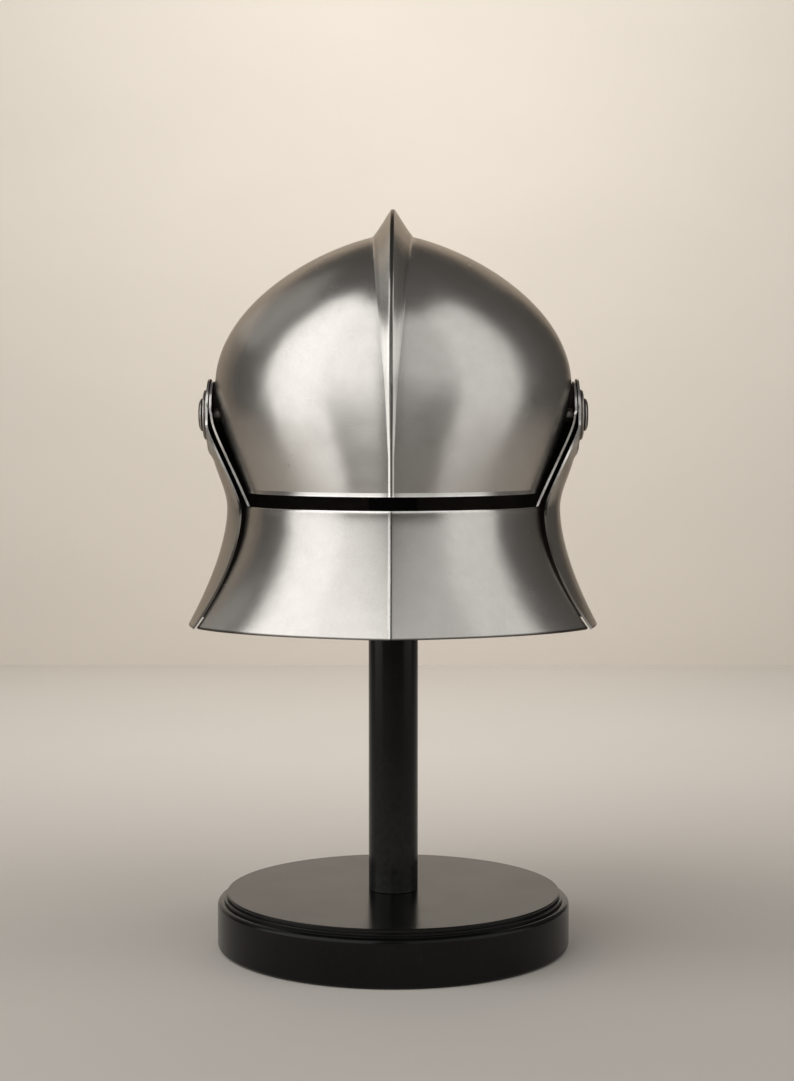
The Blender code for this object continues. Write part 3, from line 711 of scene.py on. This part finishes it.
def visorPaintedLightLines(point):
    # a painted highlight left of the crease and along the top lip, a painted shade line right of the crease,
    # a painted shadow along the foot edge and painted shade by the top of the crease
    marks = visorWearAndPaintedLight
    below = pivotHeight - visorTop - point.z
    if below - visor["height"] > -marks["footHeight"]:
        return -marks["foot"]
    if point.y > marks["front"]:
        return 0.0
    lip = marks["lip"] * band(below, marks["lipReach"])
    crease = marks["crease"] * band(point.x - marks["creaseX"], marks["creaseReach"])
    paintedShadeLine = band(point.x - marks["paintedShadeLineX"], marks["paintedShadeLineReach"])
    away = band(point.x, marks["creaseShadeReach"]) ** marks["creaseShadePower"]
    dullingAndShade = marks["dullingAndShade"] * away * max(0.0, 1.0 - below / marks["creaseShadeDepth"])
    bright = max(lip, crease)
    return bright if bright > max(marks["least"], paintedShadeLine) else -max(paintedShadeLine, dullingAndShade)


def visorWear(point):
    return visorWearAndPaintedLight["edge"]


def makeVisor():
    sheets = [gridPiece("visorPanel", 2 * visor["columns"], visor["rows"], visorPanel)]
    rows = visor["rows"] + visor["armRows"] + visor["earRows"]
    for side in (-1, 1):
        sheets.append(gridPiece("visorArm", visor["armColumns"], rows, visorSide, side))
    piece = makeSheetPlate("visorPlate", sheets)
    finishPlate(piece, ["visor"], visorBody, plateRim, visorPaintedLightLines, visorWear)


makeVisor()
print("visor")


# Neck guard

guard = {
    "earRadius": 0.023, "earLeave": 0.6, "earSettle": 2.2, "runningGap": 0.0006, "coverShift": 0.0042,
    "waistDrop": 0.060, "sideStart": 0.0200, "edgeWaist": 0.0962, "edgeEase": 0.003, "edgeFoot": 0.1226,
    "edgePower": 1.9, "waistHalf": 0.1088, "footHalf": 0.1290, "footPower": 1.85, "edgeWaistY": 0.027,
    "edgeFootY": 0.068, "widestY": 0.020, "backTop": 0.0085, "napeGap": 0.0008, "tailFlare": 0.052,
    "tailPower": 1.6, "tailDrop": 0.015, "tailSweep": 1.5, "tailStart": 0.038, "keel": 0.004,
    "keelReach": 0.045, "keelStart": 0.2, "power": 2.0, "sideColumns": 26, "backColumns": 44, "rows": 70,
    "rowSpread": 0.5,
}
guardWearAndShade = {"dark": -0.75, "bright": 0.35, "change": 0.020}    # painted shade on the edges from the waist down, edge wear above
guardEar = armEar + guard["runningGap"] + visor["plate"]
guardMiddle = guard["sideColumns"] + guard["backColumns"]


def guardCover(y, z):
    # just outside the track of the visor's arm
    shift = guard["coverShift"]
    scale = max(0.0, 1.0 - shift / max(shift, math.hypot(y, z)))
    return armHalf(scale * y, scale * z) + guard["runningGap"] + visor["plate"]


def guardSection(z):
    drop = max(0.0, -z)
    flare = max(0.0, drop - guard["waistDrop"]) / (rimDrop - guard["waistDrop"])
    waist = min(1.0, drop / guard["waistDrop"])
    late = (drop - guard["sideStart"]) / (guard["waistDrop"] - guard["sideStart"])
    edgeY = mix(guard["earRadius"], guard["edgeWaistY"], waist)
    edgeY += (guard["edgeFootY"] - guard["edgeWaistY"]) * flare
    cover = guardCover(edgeY, z)
    edgeHalf = (cover + guard["edgeWaist"] + math.hypot(cover - guard["edgeWaist"], guard["edgeEase"])) / 2
    edgeHalf += (guard["edgeFoot"] - guard["edgeWaist"]) * flare ** guard["edgePower"]
    wideHalf = mix(guardEar, guard["waistHalf"], ease(late))
    wideHalf += (guard["footHalf"] - guard["waistHalf"]) * flare ** guard["footPower"]
    wideY = mix(guard["widestY"], -guard["widestY"], ease(flare))
    skirt = skirtSize(min(max(skull["equator"] - z, 0.0), skirtDrop), 0.0)[2]
    tail = max(0.0, drop - guard["tailStart"]) / (rimDrop - guard["tailStart"])
    back = skirt + skull["ridgeHeight"] + guard["napeGap"] + visor["plate"]
    back += guard["tailFlare"] * tail ** guard["tailPower"]
    return edgeHalf, -edgeY, wideHalf, wideY, back


def guardBackPoint(turn, z):
    wideHalf, wideY, back = guardSection(z)[2:]
    free = ease((-z - guard["sideStart"]) / (guard["waistDrop"] - guard["sideStart"]))
    power = mix(skull["planPower"], guard["power"], free)
    middle = wideY * free
    y = mix(wideY, back, math.sin(turn))
    start = (1.0 - ((wideY - middle) / (back - middle)) ** power) ** (1.0 / power)
    share = max(0.0, 1.0 - min(1.0, (y - middle) / (back - middle)) ** power) ** (1.0 / power)
    x = wideHalf * share / start
    keel = ease((-z - guard["keelStart"] * guard["waistDrop"]) / guard["waistDrop"])
    return x, y + guard["keel"] * band(x, guard["keelReach"]) ** 2 * keel


def guardPoint(number, z):
    if number > guard["sideColumns"]:
        return guardBackPoint(math.pi / 2 * (number - guard["sideColumns"]) / guard["backColumns"], z)
    edgeHalf, edgeY, wideHalf, wideY, _ = guardSection(z)
    share = 0.5 - 0.5 * math.cos(math.pi * number / guard["sideColumns"])
    y = mix(edgeY, wideY, share)
    x = wideHalf - (wideHalf - edgeHalf) * (1.0 - share) ** 2
    return max(x, guardCover(y, z)), y


def guardTop(y):
    # round over the ear, then a smooth sweep down to the level edge at the back
    radius = guard["earRadius"]
    leave = guard["earLeave"] * radius
    settle = guard["earSettle"] * radius
    if y <= leave:
        return math.sqrt(max(0.0, radius**2 - y**2))
    high = math.sqrt(radius**2 - leave**2)
    slope = -leave / high * (settle - leave)
    share = min(1.0, (y - leave) / (settle - leave))
    rest = (1.0 - share) ** 2
    return high * rest * (1.0 + 2.0 * share) + slope * share * rest + guard["backTop"] * ease(share)


def guardFoot(number):
    y = guardPoint(number, -rimDrop)[1]
    sweep = max(0.0, y / guardSection(-rimDrop)[4]) ** guard["tailSweep"]
    return -rimDrop - guard["tailDrop"] * sweep


def guardSheet(column, row):
    side = 1 if column <= guardMiddle else -1
    number = column if column <= guardMiddle else 2 * guardMiddle - column
    share = row / guard["rows"]
    share = mix(share, ease(share), guard["rowSpread"])
    z = mix(guardFoot(number), guardTop(guardPoint(number, 0.0)[1]), share)
    x, y = guardPoint(number, z)
    return side * x, y, z


def guardEdgeWearAndShade(point):
    # painted shade on the edges below the waist, easing into bright edge wear above
    above = point.z - pivotHeight + guard["waistDrop"]
    return mix(guardWearAndShade["dark"], guardWearAndShade["bright"], ease(above / guardWearAndShade["change"]))


def makeGuard():
    sheet = gridPiece("neckPlate", 2 * guardMiddle, guard["rows"], guardSheet)
    piece = makeSheetPlate("neckPlate", [sheet])
    finishPlate(piece, ["neck_guard"], fixedBody, plateRim, None, guardEdgeWearAndShade)


makeGuard()
print("neck guard")


# Turned pieces: a circle that is drawn up its profile by extrude and resize

def turnPiece(name, profile, steps, ring=False):
    deselect()
    radius, height = profile[0]
    fill = "NOTHING" if ring else "NGON"
    bpy.ops.mesh.primitive_circle_add(
        vertices=steps, radius=radius, fill_type=fill, location=(0.0, 0.0, height)
    )
    piece = bpy.context.object
    piece.name = name
    bpy.ops.object.transform_apply(location=True, rotation=False, scale=False)
    bpy.ops.object.mode_set(mode="EDIT")
    bpy.ops.mesh.select_mode(type="EDGE" if ring else "FACE")
    bpy.ops.mesh.select_all(action="SELECT")
    for nextRadius, nextHeight in profile[1:]:
        bpy.ops.mesh.extrude_region_move(TRANSFORM_OT_translate={"value": (0.0, 0.0, nextHeight - height)})
        ratio = nextRadius / radius
        bpy.ops.transform.resize(value=(ratio, ratio, 1.0), center_override=(0.0, 0.0, nextHeight))
        radius, height = nextRadius, nextHeight
    bpy.ops.mesh.select_mode(type="VERT")
    bpy.ops.mesh.select_all(action="SELECT")
    bpy.ops.mesh.remove_doubles(threshold=0.005 * mm)
    bpy.ops.mesh.normals_make_consistent(inside=False)
    bpy.ops.object.mode_set(mode="OBJECT")
    return piece


def arcPoints(radius, height, roundness, start, end, count):
    points = []
    for i in range(count + 1):
        angle = math.radians(mix(start, end, i / count))
        points.append((radius + roundness * math.cos(angle), height + roundness * math.sin(angle)))
    return points


# Pivots

pivot = {
    "pin": 0.0040, "washerRadius": 0.0170, "washerHeight": 0.0010, "washerEdge": 0.35 * mm,
    "rosetteRadius": 0.0160, "rosetteHeight": 0.0015, "dish": 0.7, "headRadius": 0.0105,
    "faceRadius": 0.0078, "headHeight": 0.0028, "recess": 0.35 * mm, "endRadius": 0.0065,
    "endHeight": 0.0015, "endEdge": 0.3 * mm, "endClear": 0.2, "wearReach": 0.9 * mm, "steps": 72,
}


def washerProfile(low):
    high = low + pivot["washerHeight"]
    hole = pivotHole["radius"]
    radius = pivot["washerRadius"]
    edge = pivot["washerEdge"]
    return [
        (hole, low), (radius - 0.3 * edge, low), (radius, low + 0.3 * edge), (radius, high - edge),
        (radius - 0.4 * edge, high - 0.3 * edge), (radius - edge, high), (hole, high), (hole, low),
    ]


def rosetteProfile(low):
    # a flat disc with a raised round rim
    high = low + pivot["rosetteHeight"]
    hole = pivotHole["radius"]
    radius = pivot["rosetteRadius"]
    dish = low + pivot["dish"] * pivot["rosetteHeight"]
    return [
        (hole, low), (radius - 0.2 * mm, low), (radius, low + 0.2 * mm), (radius, mix(low, high, 0.45)),
        (0.985 * radius, mix(low, high, 0.75)), (0.94 * radius, mix(low, high, 0.96)), (0.90 * radius, high),
        (0.84 * radius, mix(low, high, 0.98)), (0.78 * radius, mix(low, high, 0.82)), (0.72 * radius, dish),
        (hole, dish), (hole, low),
    ]


def boltProfile(low):
    # the end inside the skull, the pin, the undercut head and its recessed face
    high = low + pivot["headHeight"]
    end = skirtSize(skull["equator"] + pivot["endRadius"], skull["wall"])[0]
    end -= pivot["endClear"] * skull["wall"] + seatGap
    endLow = end - pivot["endHeight"]
    endEdge = pivot["endEdge"]
    radius = pivot["headRadius"]
    face = pivot["faceRadius"]
    recess = high - pivot["recess"]
    return [
        (pivot["endRadius"] - endEdge, endLow), (pivot["endRadius"], endLow + endEdge),
        (pivot["endRadius"], end), (pivot["pin"], end), (pivot["pin"], low), (radius - 2.0 * mm, low),
        (radius - 1.5 * mm, low + 0.3 * mm), (radius - 0.3 * mm, low + 0.7 * mm), (radius, low + 0.95 * mm),
        (radius, mix(low, high, 0.50)), (0.97 * radius, mix(low, high, 0.64)),
        (mix(face, radius, 0.55), mix(low, high, 0.82)), (mix(face, radius, 0.20), mix(low, high, 0.96)),
        (face - 0.3 * mm, high), (0.62 * face, high), (0.56 * face, recess), (0.2 * mm, recess),
    ]


def layAlongX(piece, side):
    # turns a piece drawn upwards so that it points out to one side, at the pivot
    piece.data.transform(toPivot @ Matrix.Rotation(side * math.pi / 2, 4, "Y"))


def makePivot(side, hand):
    washerLow = guardEar + seatGap
    rosetteLow = washerLow + pivot["washerHeight"] + seatGap
    headLow = rosetteLow + pivot["rosetteHeight"] + seatGap
    parts = (
        ("Washer", washerProfile(washerLow), True),
        ("Rosette", rosetteProfile(rosetteLow), True),
        ("Bolt", boltProfile(headLow), False),
    )
    for part, profile, isRing in parts:
        piece = turnPiece(f"pivot{part}{hand.capitalize()}", profile, pivot["steps"], ring=isRing)
        layAlongX(piece, side)
        markEdges(piece, pivot["wearReach"])
        finishPiece(piece, [f"pivot_{part.lower()}_{hand}"], fixedBody, [pivotSteel])


makePivot(1, "left")
makePivot(-1, "right")
print("pivots")


# Nape rivets

rivet = {
    "head": 0.0040, "height": 0.0018, "domeSteps": 6.5, "shank": 0.0016, "innerHead": 0.8,
    "edgeDistance": 0.009, "turns": (-58.0, -76.0, 76.0, 58.0), "wearReach": 0.5 * mm, "steps": 40,
}


def rivetPlace(turn):
    z = guard["backTop"] - rivet["edgeDistance"]
    x, y = guardBackPoint(abs(turn), z)
    before = guardBackPoint(abs(turn) - 0.01, z)
    outward = Vector((y - before[1], before[0] - x, 0.0)).normalized()
    side = math.copysign(1.0, turn)
    return Vector((side * x, y, z)), Vector((side * outward.x, outward.y, 0.0))


def makeRivet(number, degrees):
    place, direction = rivetPlace(math.radians(degrees))
    half, _, back = skirtSize(skull["equator"] - place.z, skull["wall"])
    depth = (place.y - back * planShare(abs(place.x) / half)) * direction.y + 2.0 * seatGap
    height = rivet["height"]
    inner = rivet["innerHead"] * rivet["head"]
    profile = [
        (0.3 * mm, -depth - 0.8 * height), (0.7 * inner, -depth - 0.7 * height),
        (inner, -depth - 0.35 * height), (inner, -depth - seatGap), (rivet["shank"], -depth - seatGap),
        (rivet["shank"], seatGap), (rivet["head"], seatGap),
    ]
    for i in range(1, math.ceil(rivet["domeSteps"])):
        angle = math.pi / 2 * i / rivet["domeSteps"]
        profile.append((rivet["head"] * math.cos(angle), seatGap + height * math.sin(angle)))
    piece = turnPiece(f"napeRivet{number}", profile, rivet["steps"])
    turn = direction.to_track_quat("Z", "Y").to_matrix().to_4x4()
    piece.data.transform(Matrix.Translation(place + Vector((0.0, 0.0, pivotHeight))) @ turn)
    markEdges(piece, rivet["wearReach"])
    finishPiece(piece, [f"nape_rivet_{number}"], fixedBody, [plateSteel])


for number, degrees in enumerate(rivet["turns"], 1):
    makeRivet(number, degrees)
print("rivets")


# Lacquer

lacquerNoise = {
    # scale, detail and roughness of each noise
    "peel": (260.0, 3.0, 0.5), "dust": (900.0, 2.0, 0.7), "cloud": (22.0, 4.0, 0.55),
}
lacquer = {
    "peelDepth": 0.2 * mm, "dustLow": 0.66, "dustHigh": 0.78, "dustColour": (0.30, 0.29, 0.27),
    "gloss": 0.205, "noGloss": 0.235, "hiddenDull": 0.6,    # the gloss fades out inside the helmet
}
lacquerFinish = {
    "dark": (0.0025, 0.0025, 0.0028), "light": (0.005, 0.005, 0.005), "edge": (0.04, 0.04, 0.038),
    "smooth": 0.17, "rough": 0.25, "coat": 0.05, "coatRough": 0.12, "bump": 0.08, "dust": 0.06,
    "wearAndPaintedLight": 0.5, "shine": 0.18,
}
padFinish = {
    "dark": (0.010, 0.010, 0.010), "light": (0.020, 0.019, 0.018), "edge": (0.03, 0.03, 0.03),
    "smooth": 0.75, "rough": 0.92, "coat": 0.0, "coatRough": 0.5, "bump": 0.5, "dust": 0.5,
    "wearAndPaintedLight": 0.2, "shine": 0.3,
}


def makeLacquer(name, finish):
    material, tree, shader = newMaterial(name)
    shader.inputs["Coat Roughness"].default_value = finish["coatRough"]
    shader.inputs["Specular IOR Level"].default_value = finish["shine"]
    place = addNode(tree, "ShaderNodeTexCoord").outputs["Object"]
    peel = noise(tree, place, *lacquerNoise["peel"])
    dust = noise(tree, place, *lacquerNoise["dust"])
    cloud = noise(tree, place, *lacquerNoise["cloud"])
    colour = mixColour(tree, rangeNode(tree, cloud, 0.3, 0.7, 0.0, 1.0), finish["dark"], finish["light"])
    speck = rangeNode(tree, dust, lacquer["dustLow"], lacquer["dustHigh"], 0.0, finish["dust"])
    colour = mixColour(tree, speck, colour, lacquer["dustColour"])
    wearAndPaintedLight = groupNode(tree, wearAndPaintedLightGroup, Strength=finish["wearAndPaintedLight"])
    colour = mixColour(tree, wearAndPaintedLight.outputs["Mask"], colour, finish["edge"])
    link(tree, colour, shader.inputs["Base Color"])
    height = addNode(tree, "ShaderNodeSeparateXYZ")
    link(tree, place, height.inputs[0])
    hidden = rangeNode(tree, height.outputs["Z"], lacquer["gloss"], lacquer["noGloss"], 0.0, 1.0)
    link(tree, rangeNode(tree, hidden, 0.0, 1.0, finish["coat"], 0.0), shader.inputs["Coat Weight"])
    sheen = rangeNode(tree, cloud, 0.2, 0.8, finish["smooth"], finish["rough"])
    dullingAndShade = mathNode(tree, "MULTIPLY", hidden, lacquer["hiddenDull"])
    link(tree, mathNode(tree, "ADD", sheen, dullingAndShade, clamp=True), shader.inputs["Roughness"])
    bump = bumpNode(tree, peel, finish["bump"], lacquer["peelDepth"])
    link(tree, bump.outputs["Normal"], shader.inputs["Normal"])
    return material


blackLacquer = makeLacquer("blackLacquer", lacquerFinish)
restPad = makeLacquer("restPad", padFinish)


# Stand

stand = {
    "radius": 0.114, "height": 0.0353, "footRound": 0.003, "plateRadius": 0.108, "plateHeight": 0.0020,
    "plateRound": 0.8 * mm, "stepHeight": 0.0018, "stepShare": 0.3, "stepRound": 0.5 * mm,
    "grooveHeight": 0.0006, "grooveDepth": 0.0007, "shoulderRound": 0.0030, "post": 0.016,
    "postRound": 0.8 * mm, "restRadius": 0.038, "restRim": 0.006, "restRound": 1.6 * mm, "restNeck": 0.010,
    "restGap": 0.0008, "restRows": 14, "wearReach": 0.7 * mm, "baseSteps": 160, "postSteps": 96,
}


def finishStandPiece(piece, node, material):
    markEdges(piece, stand["wearReach"])
    finishPiece(piece, [node], fixedBody, [material])


def makeBase():
    top = stand["height"]
    plateLow = top - stand["plateHeight"]
    stepHigh = plateLow - stand["grooveHeight"]
    stepLow = stepHigh - stand["stepHeight"]
    shoulder = stepLow - stand["grooveHeight"]
    stepRadius = mix(stand["plateRadius"], stand["radius"], stand["stepShare"])
    depth = stand["grooveDepth"]
    foot = stand["footRound"]
    turned = stand["shoulderRound"]
    edge = stand["stepRound"]
    rim = stand["plateRound"]
    profile = [(20.0 * mm, 0.0)]
    profile += arcPoints(stand["radius"] - foot, foot, foot, -90.0, 0.0, 6)
    profile += arcPoints(stand["radius"] - turned, shoulder - turned, turned, 0.0, 90.0, 8)
    profile += [(stepRadius - depth, shoulder), (stepRadius - depth, stepLow)]
    profile += arcPoints(stepRadius - edge, stepLow + edge, edge, -90.0, 0.0, 3)
    profile += arcPoints(stepRadius - edge, stepHigh - edge, edge, 0.0, 90.0, 4)
    profile += [(stand["plateRadius"] - depth, stepHigh), (stand["plateRadius"] - depth, plateLow)]
    profile += [(stand["plateRadius"] - 0.1 * mm, plateLow)]
    profile += arcPoints(stand["plateRadius"] - rim, top - rim, rim, 0.0, 90.0, 5)
    profile += [(0.6 * stand["plateRadius"], top), (2.0 * mm, top)]
    piece = turnPiece("standBase", profile, stand["baseSteps"])
    finishStandPiece(piece, "stand_base", blackLacquer)


def crownSeat(radius):
    # the rest's top follows the inside of the crown
    inner = skull["half"] - skull["wall"]
    radius = max(radius, innerCombSize(1.0)[0])
    rise = (skull["crown"] - skull["wall"]) * crownShare(radius / inner)
    return pivotHeight + skull["equator"] + rise - stand["restGap"]


def makeRest(rimHigh, low):
    edge = stand["restRound"]
    profile = [(stand["post"] - 2.0 * mm, low), (stand["post"], low)]
    profile += [(stand["restRadius"] - 2.2 * mm, rimHigh - stand["restRim"])]
    profile += arcPoints(stand["restRadius"] - edge, rimHigh - 4.2 * mm, edge, -50.0, 0.0, 4)
    for i in range(stand["restRows"] + 1):
        radius = mix(stand["restRadius"], innerCombSize(1.0)[0], i / stand["restRows"])
        profile.append((radius, crownSeat(radius)))
    profile.append((2.0 * mm, crownSeat(0.0)))
    piece = turnPiece("crownRest", profile, stand["postSteps"])
    finishStandPiece(piece, "crown_rest", restPad)


def makePost(high):
    low = stand["height"] + seatGap
    edge = stand["postRound"]
    profile = [(stand["post"] - 1.0 * mm, low), (stand["post"], low)]
    profile += [(stand["post"], mix(low, high, share)) for share in (0.25, 0.5, 0.75)]
    profile += arcPoints(stand["post"] - edge, high - edge, edge, 0.0, 90.0, 4)
    profile += [(2.0 * mm, high)]
    piece = turnPiece("standPost", profile, stand["postSteps"])
    finishStandPiece(piece, "stand_post", blackLacquer)


rimHigh = crownSeat(stand["restRadius"])
restLow = rimHigh - stand["restRim"] - stand["restNeck"]
makeBase()
makeRest(rimHigh, restLow)
makePost(restLow - seatGap)
print("stand")


# Floor, backdrop, light and camera

studio = {
    "floor": (0.74, 0.70, 0.65), "wall": (0.70, 0.65, 0.585), "rough": 0.85, "mottle": (6.0, 3.0),
    "darker": 0.96, "world": (0.105, 0.100, 0.094), "wallY": 1.6, "wallWidth": 3.0, "wallMiddle": -0.65,
    "wallHeight": 1.5, "floorWidth": 4.2, "floorDepth": 4.4,
}
lampColour = (1.0, 0.985, 0.96)
softWalls = (
    # name, azimuth, distance, width, low and high edge, radiance
    ("leftKey", -72.0, 1.5, 1.15, 0.02, 4.0, 1.45),
    ("leftInner", -31.0, 1.5, 1.06, 0.22, 4.0, 1.28),
    ("rightFill", 73.0, 1.5, 1.20, 0.02, 3.0, 0.80),
    ("rightInner", 29.5, 1.5, 1.15, 0.30, 3.0, 0.58),
    ("leftBack", -128.0, 1.6, 1.1, 0.95, 2.4, 0.26),
)
wallWash = {
    "place": (0.0, 0.5, 1.15), "toward": (0.0, 0.9, -0.4), "size": (0.9, 0.3), "radiance": 12.0,
    "colour": (1.0, 0.97, 0.93),
}
view = {
    "azimuth": 0.5, "distance": 1.2684, "height": 0.3253, "pitch": 2.8375, "sideways": 0.0024,
    "lens": 89.1, "sensor": 36.0, "nearest": 0.02,
}


def makeStageMaterial(name, colour):
    material, tree, shader = newMaterial(name)
    shader.inputs["Roughness"].default_value = studio["rough"]
    place = addNode(tree, "ShaderNodeTexCoord").outputs["Object"]
    tint = rangeNode(tree, noise(tree, place, *studio["mottle"]), 0.3, 0.7, 0.0, 1.0)
    darker = tuple(studio["darker"] * value for value in colour)
    link(tree, mixColour(tree, tint, darker, colour), shader.inputs["Base Color"])
    back = addNode(tree, "ShaderNodeNewGeometry").outputs["Backfacing"]
    link(tree, mathNode(tree, "SUBTRACT", 1.0, back), shader.inputs["Alpha"])   # open from behind
    return material


def stagePlane(name, middle, size, colour, tilt=0.0):
    deselect()
    bpy.ops.mesh.primitive_plane_add(size=1.0, location=middle, rotation=(tilt, 0.0, 0.0))
    plane = bpy.context.object
    plane.name = name
    plane.scale = (*size, 1.0)
    plane.data.materials.append(makeStageMaterial("pale" + name.capitalize(), colour))
    return plane


def makeStage():
    floorMiddle = (0.0, studio["wallY"] - studio["floorDepth"] / 2, 0.0)
    floorSize = (studio["floorWidth"], studio["floorDepth"])
    floor = stagePlane("floor", floorMiddle, floorSize, studio["floor"])
    wallMiddle = (studio["wallMiddle"], studio["wallY"], studio["wallHeight"] / 2)
    wallSize = (studio["wallWidth"], studio["wallHeight"])
    wall = stagePlane("backdrop", wallMiddle, wallSize, studio["wall"], math.pi / 2)


def addToScene(name, data):
    thing = bpy.data.objects.new(name, data)
    bpy.context.scene.collection.objects.link(thing)
    return thing


def areaLight(name, place, toward, size, radiance, colour):
    # radiance is what a mirror would show of it
    data = bpy.data.lights.new(name, "AREA")
    data.shape = "RECTANGLE"
    data.size, data.size_y = size
    data.energy = radiance * math.pi * size[0] * size[1]
    data.color = colour
    lamp = addToScene(name, data)
    lamp.location = place
    lamp.rotation_euler = Vector(toward).to_track_quat("-Z", "Y").to_euler()


def lightWall(name, azimuth, distance, width, low, high, radiance):
    # an upright soft source; azimuth from the camera's side, positive towards +X
    turn = math.radians(azimuth)
    direction = Vector((math.sin(turn), -math.cos(turn), 0.0))
    place = direction * distance + Vector((0.0, 0.0, (low + high) / 2))
    areaLight(name, place, -direction, (width, high - low), radiance, lampColour)


def makeLights():
    for wall in softWalls:
        lightWall(*wall)
    areaLight("wallWash", **wallWash)
    world = bpy.data.worlds.new("studioWorld")
    bpy.context.scene.world = world
    world.use_nodes = True
    world.node_tree.nodes["Background"].inputs["Color"].default_value = (*studio["world"], 1.0)
    world.node_tree.nodes["Background"].inputs["Strength"].default_value = 1.0


def makeCamera():
    data = bpy.data.cameras.new("photoCamera")
    data.sensor_fit = "HORIZONTAL"
    data.sensor_width = view["sensor"]
    data.lens = view["lens"]
    data.clip_start = view["nearest"]
    camera = addToScene("photoCamera", data)
    azimuth = math.radians(view["azimuth"])
    x = view["distance"] * math.sin(azimuth) + view["sideways"]
    camera.location = (x, -view["distance"] * math.cos(azimuth), view["height"])
    camera.rotation_euler = (math.radians(90.0 - view["pitch"]), 0.0, azimuth)
    bpy.context.scene.camera = camera


makeStage()
makeLights()
makeCamera()
bpy.context.scene.view_settings.view_transform = "Standard"
print("studio")
